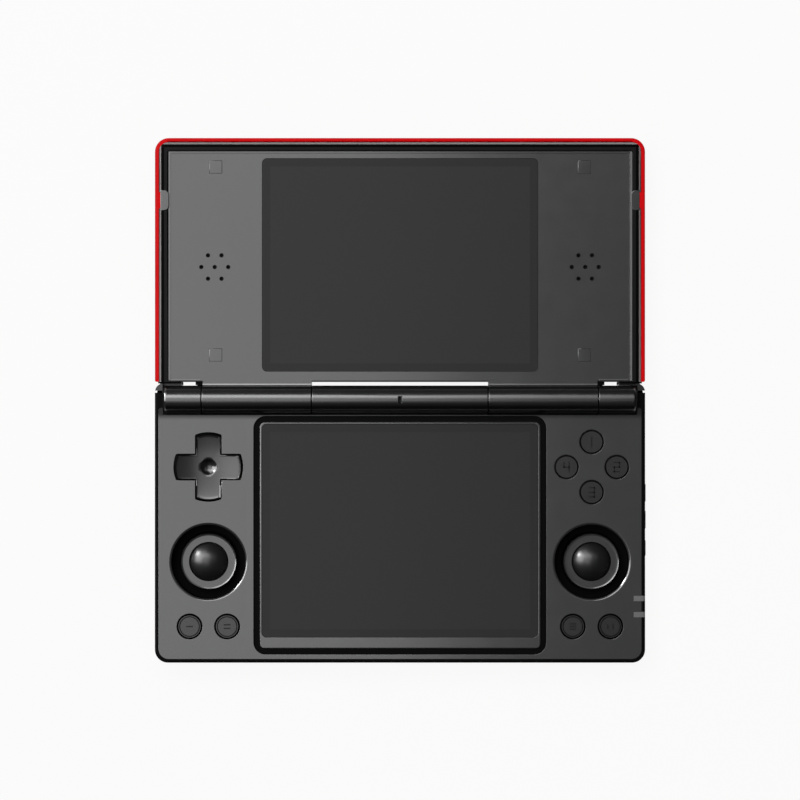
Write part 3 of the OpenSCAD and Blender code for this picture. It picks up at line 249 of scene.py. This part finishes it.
# Nodes whose finish is not the one of their slot
SPECIAL_FINISH = {
    "left_stick": "grey_disc", "right_stick": "grey_disc", "microphone": "speaker",
    # The stick carriers, rings and housings are painted black: painted shade inside the stick wells
    "left_stick_carrier": "inner_black", "right_stick_carrier": "inner_black",
    "left_stick_dome": "dome_black", "right_stick_dome": "dome_black",
    "stick_rings": "inner_black", "stick_housings": "inner_black",
    "left_outer_shoulder": "dark_button", "right_outer_shoulder": "dark_button",
}


def dress_nodes():
    """Gives every CAD node the material of its slot, or one of its own."""
    for name, node in nodes.items():
        material = LENSES.get(name) or FINISHES[SPECIAL_FINISH.get(name, node_slot[name])]
        node.data.materials.clear()
        node.data.materials.append(material)


# Pieces made from the CAD nodes

SHARP = math.radians(25)
FLAT = math.radians(0.5)
SMOOTH_BELOW = math.radians(32)
WELD = 1e-6


def middle(edge):
    """The midpoint of an edge."""
    return (edge.verts[0].co + edge.verts[1].co) / 2


def refined(node, *roundings, finishes=None, pick=None, shape=None, join=True):
    """A copy of a CAD node with rounded edges and a finish for each face.

    A rounding holds a width, a number of segments and a test for the sharp edges that it takes.
    pick(centre, normal) names the finish of a face, and shape(bm) may change the form first.
    Flat neighbours are joined into one face unless join is off."""
    finishes = finishes or [node_slot[node]]
    bm = bmesh.new()
    bm.from_mesh(nodes[node].data)
    bmesh.ops.remove_doubles(bm, verts=bm.verts, dist=WELD)
    if join:
        bmesh.ops.dissolve_limit(bm, angle_limit=FLAT, verts=bm.verts, edges=bm.edges)
    if shape:
        shape(bm)
        bm.normal_update()
    for width, segments, wanted in roundings:
        edges = [e for e in bm.edges if len(e.link_faces) == 2 and e.calc_face_angle(0.0) > SHARP
                 and wanted(e)]
        bmesh.ops.bevel(bm, geom=edges, offset=width, offset_type="OFFSET", segments=segments,
                        profile=0.5, affect="EDGES", clamp_overlap=False)
    mesh = bpy.data.meshes.new(node + "_look")
    for face in bm.faces:
        face.smooth = True
        finish = pick(face.calc_center_median(), face.normal) if pick else finishes[0]
        face.material_index = finishes.index(finish)
    bm.to_mesh(mesh)
    bm.free()
    mesh.set_sharp_from_angle(angle=SMOOTH_BELOW)
    for finish in finishes:
        mesh.materials.append(FINISHES[finish])
    piece = bpy.data.objects.new(node + "_look", mesh)
    bpy.context.scene.collection.objects.link(piece)
    piece.modifiers.new("even_normals", "WEIGHTED_NORMAL").keep_sharp = True
    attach(piece, node_body[node])
    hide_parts(node)


def top_edges(node, depth):
    """A test for the edges that lie within depth of a node's highest point."""
    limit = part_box(node)[1].z - depth

    def test(edge):
        return min(v.co.z for v in edge.verts) > limit
    return test


BARREL_END = 76 * MM


def barrel_distance(point):
    """How far a point is from the hinge axis."""
    return math.hypot(point.y, point.z - AXIS_Z)


def centre_of(node):
    """The middle of a node's box."""
    return sum(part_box(node), Vector()) / 2


def on_barrel(point):
    """True on the barrel's outside and on its end faces, but not in the trough round it."""
    return barrel_distance(point) < BARREL_R + 0.12 * MM and abs(point.y) < BARREL_R and \
        point.z > TOP_Z - BARREL_R


def barrel_edge(edge):
    """An edge round the end of a barrel section, above the faceplates."""
    a, b = (v.co for v in edge.verts)
    rim = all(abs(barrel_distance(p) - BARREL_R) < 0.05 * MM for p in (a, b))
    return rim and abs(a.x - b.x) < 0.01 * MM and min(a.z, b.z) > TOP_Z - 1.5 * MM


def make_casing():
    """The base's upper casing, whose barrel sections shine apart from their end faces."""
    def shell_finish(centre, normal):
        shiny = on_barrel(centre) and abs(normal.x) < 0.55
        return "hinge_black" if shiny else "black_casing"

    def barrel_end(edge):
        return barrel_edge(edge) and abs(edge.verts[0].co.x) > BARREL_END

    refined("top_shell", (0.9 * MM, 5, barrel_end), (0.25 * MM, 2, barrel_edge),
            finishes=["black_casing", "hinge_black"], pick=shell_finish)


def make_bottom_cover():
    """Red outside; inside and in the shoulder button openings it is painted black, as painted shade
    that keeps the inside dark.
    """
    low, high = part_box("bottom_cover")
    wall, floor = 1.55 * MM, 1.1 * MM
    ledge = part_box("left_outer_shoulder")[0]

    # The inside faces and those in the openings get black as painted shade
    def cover_finish(centre, normal):
        inset = min(centre.x - low.x, high.x - centre.x, centre.y - low.y, high.y - centre.y)
        if inset > wall and centre.z > low.z + floor:
            return "inner_black"
        in_opening = centre.y > ledge.y and centre.z > ledge.z - 0.3 * MM and normal.z > 0.3
        return "inner_black" if in_opening else "red_casing"

    refined("bottom_cover", finishes=["red_casing", "inner_black"], pick=cover_finish)


def make_lid_cover():
    """The red rim is rounded towards the outside."""
    low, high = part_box("lid_cover")
    corner = 4.6 * MM

    def outer_rim(edge):
        point = middle(edge)
        if point.z < high.z - 0.05 * MM:
            return False
        side = high.x - abs(point.x)
        far = high.y - point.y
        return min(side, far) < 0.05 * MM or \
            (side < corner and far < corner and
             abs(math.hypot(corner - side, corner - far) - corner) < 0.3 * MM)

    refined("lid_cover", (0.6 * MM, 4, outer_rim))


def make_lid_frame():
    """The lip is matt, its outer strip a darker, duller copy of its black as painted shade; the
    chamfer round it is grey, and the knuckles shine.
    """
    low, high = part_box("lid_frame")
    edge_w = 0.75 * MM
    inner_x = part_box("lid_faceplate")[1].x
    lip_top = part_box("lid_tabs")[1].z
    strip_x, strip_y = high.x - edge_w - 0.95 * MM, high.y - edge_w - 0.95 * MM

    def split_lip(bm):
        for spot, normal in (((strip_x, 0, 0), (1, 0, 0)), ((-strip_x, 0, 0), (1, 0, 0)),
                             ((0, strip_y, 0), (0, 1, 0))):
            bmesh.ops.bisect_plane(bm, geom=bm.verts[:] + bm.edges[:] + bm.faces[:],
                                   plane_co=spot, plane_no=normal, dist=1e-7)

    def frame_finish(centre, normal):
        if centre.y < LID_NEAR - 0.5 * MM:
            return "hinge_black"
        outside = max(abs(centre.x) - high.x, centre.y - high.y) > -edge_w
        corner = math.hypot(centre.x, centre.y) > math.hypot(high.x, high.y) - 2.1 * MM
        if (outside or corner) and 0.3 < normal.z < 0.9 and centre.y > LID_NEAR:
            return "grey_trim"
        # The outer strip of the lip gets the painted shade copy
        return "lip_painted_shade" if abs(centre.x) > strip_x or centre.y > strip_y else "matte_lip"

    def inner_lip(edge):
        point = middle(edge)
        return abs(point.z - lip_top) < 0.04 * MM and abs(point.x) < inner_x + 0.2 * MM and \
            point.y > LID_NEAR + 1.0 * MM

    refined("lid_frame", (0.3 * MM, 2, inner_lip), (0.3 * MM, 2, barrel_edge),
            finishes=["matte_lip", "lip_painted_shade", "grey_trim", "hinge_black"], pick=frame_finish,
            shape=split_lip)


UPWARD = 0.85       # a face whose normal has a greater Z counts as a top face
PAD_DISH = 0.3 * MM
PAD_LIP = 0.3 * MM
PAD_LIP_DROP = 0.13 * MM
PAD_STEP = 0.9 * MM
THUMB_R = 2.62 * MM
THUMB_SPHERE = 4.0 * MM
THUMB_REACH = 3.0 * MM
RINGS = 10


def ordered_loop(edges):
    """The corners of one closed loop of edges, anticlockwise seen from above."""
    edges = set(edges)
    first = min(edges, key=lambda e: tuple(middle(e)))
    loop = [first.verts[0], first.verts[1]]
    edges.discard(first)
    while True:
        following = [e for e in loop[-1].link_edges if e in edges]
        if not following:
            break
        edges.discard(following[0])
        vert = following[0].other_vert(loop[-1])
        if vert is loop[0]:
            break
        loop.append(vert)
    area = sum(a.co.x * b.co.y - b.co.x * a.co.y for a, b in zip(loop, loop[1:] + loop[:1]))
    return loop if area > 0 else loop[::-1]


def add_ring(bm, outer, points):
    """Joins a ring of new corners to the loop outside it."""
    inner = [bm.verts.new(p) for p in points]
    for i in range(len(outer)):
        j = (i + 1) % len(outer)
        bm.faces.new((outer[i], outer[j], inner[j], inner[i]))
    return inner


def shape_pad(bm):
    """Gives the direction pad a dished top with a thin lip and a round thumb hollow."""
    low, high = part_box("dpad")
    centre = (low + high) / 2
    reach = (high.x - low.x) / 2
    middle_z = TOP_Z - 0.2 * MM
    rise = (high.z - middle_z) / reach ** 2

    def radius(co):
        return math.hypot(co.x - centre.x, co.y - centre.y)

    def surface(r):
        return middle_z + rise * r * r - PAD_DISH * (1 - min(1.0, r / reach) ** 2)

    def in_top(face):
        point = face.calc_center_median()
        hollow = radius(point) < THUMB_REACH and point.z > TOP_Z - 2 * MM
        return hollow or (face.normal.z > UPWARD and point.z > middle_z)

    top = {f for f in bm.faces if in_top(f)}
    rim = [e for e in bm.edges if len(e.link_faces) == 2 and
           (e.link_faces[0] in top) != (e.link_faces[1] in top)]
    for cuts in (1, 2, 4, 7):
        longer = [e for e in rim
                  if cuts * PAD_STEP < e.calc_length() <= 2 * cuts * PAD_STEP]
        bmesh.ops.subdivide_edges(bm, edges=longer, cuts=cuts)
    top = [f for f in bm.faces if in_top(f)]
    bmesh.ops.inset_region(bm, faces=top, thickness=PAD_LIP, depth=0.0, use_even_offset=True)
    bmesh.ops.delete(bm, geom=[f for f in top if f.is_valid], context="FACES")
    loop = ordered_loop(e for e in bm.edges if e.is_boundary)
    inside = set(loop)
    for vert in bm.verts:
        if vert.co.z > middle_z and vert not in inside:
            vert.co.z -= PAD_DISH * (1 - min(1.0, radius(vert.co) / reach) ** 2)
    for vert in loop:
        vert.co.z = surface(radius(vert.co)) - PAD_LIP_DROP
    rays = [((v.co.x - centre.x) / radius(v.co), (v.co.y - centre.y) / radius(v.co), radius(v.co))
            for v in loop]
    ring = loop
    for k in range(1, RINGS + 1):
        radii = [THUMB_R + (r - THUMB_R) * (1 - k / RINGS) for _, _, r in rays]
        ring = add_ring(bm, ring, [(centre.x + u * r, centre.y + v * r, surface(r) - PAD_LIP_DROP)
                                   for (u, v, _), r in zip(rays, radii)])
    edge_z = surface(THUMB_R) - PAD_LIP_DROP
    drop = math.sqrt(THUMB_SPHERE ** 2 - THUMB_R ** 2)
    for k in range(1, RINGS):
        r = THUMB_R * (1 - k / RINGS)
        z = edge_z + drop - math.sqrt(THUMB_SPHERE ** 2 - r * r)
        ring = add_ring(bm, ring, [(centre.x + u * r, centre.y + v * r, z) for u, v, _ in rays])
    bm.faces.new(ring)


DISC_R = 9.0 * MM
DISC_INNER = 6.42 * MM
# Disc top from the rim inwards: radius and depth below the rim in mm, ending under the dome
DISC_PROFILE = [(8.62, 0.17), (8.45, 0.2), (7.5, 0.2), (6.45, 0.2), (6.4, 0.24), (6.4, 0.9),
                (5.5, 0.9)]


def make_sticks():
    """Discs with a shallow dish and a gap round the dome; the gap, the disc's sides and its outer
    edge are painted black as painted shade.
    """
    for side in ("left", "right"):
        node = side + "_stick"
        centre = centre_of(side + "_stick_dome")
        disc_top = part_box(node)[1].z

        def reach(point):
            return math.hypot(point.x - centre.x, point.y - centre.y)

        def in_top(face):
            point = face.calc_center_median()
            flat_or_inner = face.normal.z > 0.1 or reach(point) < DISC_INNER + 0.08 * MM
            return flat_or_inner and point.z > disc_top - 0.95 * MM and \
                reach(point) < DISC_R - 0.02 * MM and \
                max(reach(v.co) for v in face.verts) < DISC_R + 0.04 * MM

        def turn_top(bm):
            bmesh.ops.delete(bm, geom=[f for f in bm.faces if in_top(f)], context="FACES")
            rim = [e for e in bm.edges if e.is_boundary and
                   min(reach(v.co) for v in e.verts) > DISC_R - 0.4 * MM]
            ring = ordered_loop(rim)
            for r, depth in DISC_PROFILE:
                points = [(centre.x + (v.co.x - centre.x) * r * MM / reach(v.co),
                           centre.y + (v.co.y - centre.y) * r * MM / reach(v.co),
                           disc_top - depth * MM) for v in ring]
                ring = add_ring(bm, ring, points)
            bm.faces.new(ring)

        # Painted shade: all but the disc's flat top is black
        def disc_finish(point, normal):
            on_top = DISC_INNER < reach(point) < DISC_R + 0.02 * MM
            return "grey_disc" if on_top and point.z > disc_top - 0.4 * MM else "inner_black"

        refined(node, finishes=["grey_disc", "inner_black"], pick=disc_finish, shape=turn_top,
                join=False)


def make_buttons():
    """Face and menu buttons, whose sides and grooves are painted black as painted shade for the
    gaps round them.
    """
    names = [name + "_face_button" for name in ("top", "right", "bottom", "left")]
    names += [name + "_menu_button"
              for name in ("outer_left", "inner_left", "inner_right", "outer_right")]
    for node in names:
        top_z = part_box(node)[1].z
        groove = 0.05 * MM if "menu" in node else math.inf

        def button_finish(centre, normal):
            on_top = normal.z > 0.95 and centre.z > top_z - groove
            return "grey_button" if on_top else "inner_black"

        refined(node, finishes=["grey_button", "inner_black"], pick=button_finish)


def make_controls():
    """The direction pad, and the small pieces that only get rounded edges."""
    centre = centre_of("dpad")

    # The pad's chamfer and sides are painted black: painted shade for the gap round it
    def pad_finish(point, normal):
        on_top = normal.z > UPWARD
        in_hollow = math.hypot(point.x - centre.x, point.y - centre.y) < THUMB_R
        return "dark_pad" if on_top or in_hollow else "inner_black"

    refined("dpad", finishes=["dark_pad", "inner_black"], pick=pad_finish, shape=shape_pad,
            join=False)
    refined("lid_tabs", (0.2 * MM, 2, top_edges("lid_tabs", 0.3 * MM)))
    refined("lid_pads", (0.15 * MM, 2, top_edges("lid_pads", 0.2 * MM)))
    refined("lower_screen_frame", (0.1 * MM, 2, top_edges("lower_screen_frame", 0.5 * MM)))


OPENING_REACH = 12.7 * MM


def make_deck():
    """The base's faceplate, with soft edges round the stick openings."""
    sticks = [centre_of(side + "_stick_dome") for side in ("left", "right")]

    def opening_edge(edge):
        point = middle(edge)
        return point.z > TOP_Z - 0.02 * MM and \
            any(math.hypot(point.x - c.x, point.y - c.y) < OPENING_REACH for c in sticks)

    # Its finish carries a painted shade beside the hinge barrel
    refined("base_faceplate", (0.3 * MM, 4, opening_edge),
            (0.1 * MM, 2, top_edges("base_faceplate", 0.05 * MM)), finishes=["grey_deck_painted_shade"])


# Thin trim that the solids leave out

def both_sides(inner, outer):
    """The range from inner to outer along X, on the left and on the right."""
    return [sorted((side * inner, side * outer)) for side in (-1, 1)]


def add_bar(bm, x, y, low, top):
    """Adds a bar over the ranges x and y, from the height low up to top(x, y)."""
    corners = [(x[0], y[0]), (x[1], y[0]), (x[1], y[1]), (x[0], y[1])]
    bottom = [bm.verts.new((u, v, low)) for u, v in corners]
    upper = [bm.verts.new((u, v, top(u, v))) for u, v in corners]
    bm.faces.new(bottom[::-1])
    bm.faces.new(upper)
    for i in range(4):
        j = (i + 1) % 4
        bm.faces.new((bottom[i], bottom[j], upper[j], upper[i]))


def trim_piece(name, bm, body, finish, edge):
    """Makes a piece of a bmesh, with its edges rounded where edge isn't 0."""
    mesh = bpy.data.meshes.new(name)
    bm.to_mesh(mesh)
    bm.free()
    mesh.materials.append(FINISHES[finish])
    piece = bpy.data.objects.new(name, mesh)
    bpy.context.scene.collection.objects.link(piece)
    if edge:
        rounding = piece.modifiers.new("rounded", "BEVEL")
        rounding.width = edge
        rounding.segments = 2
    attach(piece, body)


KNUCKLE = (28.85 * MM, 64.5 * MM)
NEAR_EDGE = (65.0 * MM, 74.7 * MM)


def make_panel_edges():
    """The bright edges of the lid's panel: along its sides, and where it meets the knuckles.

    Each leans by a few degrees, so that it mirrors another part of the studio."""
    low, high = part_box("lid_faceplate")
    near, far = LID_NEAR + 0.5 * MM, high.y - 0.03 * MM
    strip = 0.5 * MM
    bm = bmesh.new()
    for x0, x1, lean in ((low.x + 0.12 * MM, low.x + 0.82 * MM, 2.5),
                         (high.x - 0.85 * MM, high.x - 0.45 * MM, 0.0),
                         (high.x - 0.45 * MM, high.x + 0.1 * MM, 4.0)):
        rise = math.tan(math.radians(lean))
        add_bar(bm, (x0, x1), (near, far), high.z - 0.2 * MM,
                lambda x, y: high.z + 0.03 * MM + rise * (x - x0))
    near_lean = math.tan(math.radians(6.6))
    for ends in both_sides(*NEAR_EDGE):
        add_bar(bm, ends, (near, near + strip), high.z - 0.4 * MM,
                lambda x, y: high.z + 0.06 * MM - near_lean * (y - near))
    width = 0.7 * MM
    add_bar(bm, (low.x + width, high.x - width), (high.y - width, far), high.z - 0.2 * MM,
            lambda x, y: high.z + 0.08 * MM)
    rear, face = low.y - 0.14 * MM, high.z - 0.3 * MM
    rear_lean = math.tan(math.radians(12.5))
    for ends in both_sides(*KNUCKLE):
        add_bar(bm, ends, (rear, rear + strip), face - 0.2 * MM,
                lambda x, y: face + 0.13 * MM - rear_lean * (y - rear))
    trim_piece("panel_edges", bm, "lid", "grey_panel", 0.03 * MM)


def make_lid_gap_shade():
    """A dark bar on the lid's near wall, behind the shoulder buttons: painted shade for the gap
    there.
    """
    bm = bmesh.new()
    low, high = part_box("right_outer_shoulder")
    for side in (-1, 1):
        for x0, x1, rear in ((low.x, high.x - 0.9 * MM, high.y + 0.04 * MM),
                             (KNUCKLE[1] - 0.05 * MM, 66.75 * MM, BARREL_R + 0.14 * MM)):
            add_bar(bm, sorted((side * x0, side * x1)), (rear, LID_NEAR + 0.02 * MM),
                    AXIS_Z - 4 * MM, lambda x, y: AXIS_Z - 1.2 * MM)
    trim_piece("lid_gap_shade", bm, "lid", "black_casing", 0.08 * MM)


def make_rear_gap_shade():
    """Dark bars on the base, below the gaps behind and beside the outer shoulder buttons: painted
    shade that keeps the gaps dark.
    """
    bm = bmesh.new()
    low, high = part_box("right_outer_shoulder")
    for side in (-1, 1):
        for x0, x1, near, far in (
                (low.x, high.x - 0.9 * MM, high.y - 0.9 * MM, LID_NEAR),
                (high.x - 2.4 * MM, high.x - 0.1 * MM, high.y - 3.4 * MM, high.y - 2.0 * MM)):
            add_bar(bm, sorted((side * x0, side * x1)), (near, far), low.z - 1.6 * MM,
                    lambda x, y: low.z - 0.2 * MM)
    trim_piece("rear_gap_shade", bm, "base", "inner_black", 0.1 * MM)


MARK_W, MARK_H, STROKE = 1.7 * MM, 3.0 * MM, 0.45 * MM
# Strokes as start and end in a box of width and height 1: the numbers 1 to 4 and plain bars
MARKS = {
    "top_face_button": ((0.5, 0, 0.5, 1),),
    "right_face_button": ((0, 1, 1, 1), (1, 0.5, 1, 1), (0, 0.5, 1, 0.5), (0, 0, 0, 0.5),
                          (0, 0, 1, 0)),
    "bottom_face_button": ((0, 1, 1, 1), (1, 0, 1, 1), (0, 0.5, 1, 0.5), (0, 0, 1, 0)),
    "left_face_button": ((0, 0.5, 0, 1), (0, 0.5, 1, 0.5), (1, 0, 1, 1)),
    "outer_left_menu_button": ((0, 0.5, 1, 0.5),),
    "inner_left_menu_button": ((0, 0.7, 1, 0.7), (0, 0.3, 1, 0.3)),
    "inner_right_menu_button": ((0, 0.8, 1, 0.8), (0, 0.5, 1, 0.5), (0, 0.2, 1, 0.2)),
    "outer_right_menu_button": ((0, 0.3, 0, 0.7), (1, 0.3, 1, 0.7)),
}


def make_marks():
    """Faint printed numbers and bars on the buttons."""
    for node, strokes in MARKS.items():
        top_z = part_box(node)[1].z
        centre = centre_of(node)
        bm = bmesh.new()
        for x0, y0, x1, y1 in strokes:
            xs = sorted(centre.x + (t - 0.5) * MARK_W for t in (x0, x1))
            ys = sorted(centre.y + (t - 0.5) * MARK_H for t in (y0, y1))
            add_bar(bm, (xs[0] - STROKE / 2, xs[1] + STROKE / 2),
                    (ys[0] - STROKE / 2, ys[1] + STROKE / 2), top_z - 0.02 * MM,
                    lambda x, y: top_z + 0.012 * MM)
        trim_piece(node + "_mark", bm, node_body[node], "button_mark", 0.0)


# Camera, light and floor

FRAME_WIDTH = 260.9 * MM
CAMERA_LENS = 150.0
SENSOR = 36.0
CEILING = 1.5
CARD_TARGET = (0.0, -0.05, 0.0)
WORLD_LIGHT = 0.19
FLOOR_WHITE = 0.92
WHITE = (1.0, 1.0, 1.0, 1.0)
FLOOR_GREY = (0.6, 0.6, 0.6, 1.0)
# Softboxes under the ceiling: the ranges of X and Y in metres, and the radiance
CEILING_PANELS = {
    "overhead_softbox": (-0.32, 0.03, -0.30, 0.26, 2.25),
    "left_softbox": (-0.90, -0.32, -0.30, 0.26, 4.0),
    "front_softbox": (-0.90, 0.03, -0.58, -0.30, 0.8),
    "near_rear_softbox": (-0.90, 0.04, 0.26, 0.45, 2.9),
    "rear_softbox": (-0.90, 0.04, 0.45, 1.20, 7.3),
    "right_softbox": (0.04, 1.00, 0.26, 1.20, 1.0),
    "overhead_fill": (0.03, 0.90, -0.30, 0.26, 0.26),
}
# Square cards that only reflections see: the centre, the size and the radiance
CARDS = {
    "side_lamp": ((-1.08, 0.63, 0.33), 0.27, 85.0),
    "rear_card": ((-0.72, 0.92, 0.95), 0.7, 5.0),
    "left_card": ((-1.05, 0.30, 0.70), 0.9, 12.0),
}


def make_camera():
    """Straight above the hinge, so that the photo's 800 pixels span FRAME_WIDTH at the top face."""
    data = bpy.data.cameras.new("camera")
    data.lens = CAMERA_LENS
    data.sensor_width = SENSOR
    data.clip_end = 20.0
    camera = bpy.data.objects.new("camera", data)
    camera.location = (0.0, -0.12 * MM, TOP_Z + FRAME_WIDTH * CAMERA_LENS / SENSOR)
    bpy.context.scene.collection.objects.link(camera)
    bpy.context.scene.camera = camera


def make_softbox(name, centre, target, width, depth, radiance, card):
    """A rectangular softbox that faces target and that the camera doesn't see.

    A card is seen in reflections only, so it leaves the level of the light alone."""
    data = bpy.data.lights.new(name, "AREA")
    data.shape = "RECTANGLE"
    data.size = width
    data.size_y = depth
    data.energy = radiance * math.pi * width * depth
    lamp = bpy.data.objects.new(name, data)
    lamp.location = centre
    direction = Vector(target) - Vector(centre)
    lamp.rotation_euler = direction.to_track_quat("-Z", "Y").to_euler()
    lamp.visible_camera = False
    lamp.visible_diffuse = not card
    bpy.context.scene.collection.objects.link(lamp)


def make_lights():
    for name, (x0, x1, y0, y1, radiance) in CEILING_PANELS.items():
        x, y = (x0 + x1) / 2, (y0 + y1) / 2
        make_softbox(name, (x, y, CEILING), (x, y, 0.0), x1 - x0, y1 - y0, radiance, False)
    for name, (centre, size, radiance) in CARDS.items():
        make_softbox(name, centre, CARD_TARGET, size, size, radiance, True)


def light_path(tree, *kinds):
    """1 for rays of the given kinds, otherwise 0."""
    path = add_node(tree, "ShaderNodeLightPath")
    seen = path.outputs[kinds[0]]
    for kind in kinds[1:]:
        seen = combined(tree, "MAXIMUM", seen, path.outputs[kind])
    return seen


def mixed_shader(tree, factor, first, second, output):
    """Mixes two shaders by a factor, and ends the tree with the result."""
    mix = add_node(tree, "ShaderNodeMixShader")
    tree.links.new(factor, mix.inputs["Fac"])
    tree.links.new(first.outputs[0], mix.inputs[1])
    tree.links.new(second.outputs[0], mix.inputs[2])
    tree.links.new(mix.outputs[0], add_node(tree, output).inputs["Surface"])


def make_floor():
    """White where the camera, a reflection or glass looks at it; it keeps the shadow."""
    bpy.ops.mesh.primitive_plane_add(size=6.0, location=(0.0, 0.0, 0.0))
    floor = bpy.context.object
    floor.name = "floor"
    material = bpy.data.materials.new("floor_white")
    material.use_nodes = True
    tree = material.node_tree
    tree.nodes.clear()
    dull = add_node(tree, "ShaderNodeBsdfDiffuse", Color=FLOOR_GREY)
    white = add_node(tree, "ShaderNodeEmission", Strength=1.0)
    seen = light_path(tree, "Is Camera Ray", "Is Transmission Ray", "Is Glossy Ray")
    share = combined(tree, "MULTIPLY", seen, FLOOR_WHITE)
    mixed_shader(tree, share, dull, white, "ShaderNodeOutputMaterial")
    floor.data.materials.append(material)


def make_world():
    """A dim studio with a white backdrop, which reflections see low above the floor.

    In reflections the studio is darker towards the front and the right."""
    world = bpy.data.worlds.new("world")
    world.use_nodes = True
    tree = world.node_tree
    tree.nodes.clear()
    way = axes(tree, add_node(tree, "ShaderNodeTexCoord").outputs["Generated"])
    glossy = light_path(tree, "Is Glossy Ray")
    front = ramp(tree, way["Y"], -0.85, -0.6, 0.1, 1.0)
    right = ramp(tree, way["X"], 0.06, -0.02, 0.45, 1.0)
    level = combined(tree, "MULTIPLY", front, right)
    band = combined(tree, "MULTIPLY", ramp(tree, way["Z"], 0.03, 0.0), level)
    mirrored = combined(tree, "MULTIPLY", band, glossy)
    seen = combined(tree, "MAXIMUM", mirrored,
                    light_path(tree, "Is Camera Ray", "Is Transmission Ray"))
    tint = add_node(tree, "ShaderNodeMix", data_type="RGBA")
    tint.inputs["A"].default_value = WHITE
    tree.links.new(glossy, tint.inputs["Factor"])
    tree.links.new(level, tint.inputs["B"])
    dull = add_node(tree, "ShaderNodeBackground", Strength=WORLD_LIGHT)
    tree.links.new(tint.outputs["Result"], dull.inputs["Color"])
    white = add_node(tree, "ShaderNodeBackground", Color=WHITE, Strength=1.0)
    mixed_shader(tree, seen, dull, white, "ShaderNodeOutputWorld")
    bpy.context.scene.world = world


dress_nodes()
make_casing()
make_bottom_cover()
make_lid_cover()
make_lid_frame()
make_deck()
make_buttons()
make_controls()
make_sticks()
make_panel_edges()
make_lid_gap_shade()
make_rear_gap_shade()
make_marks()

make_camera()
make_lights()
make_floor()
make_world()

bpy.context.scene.view_settings.view_transform = "Standard"
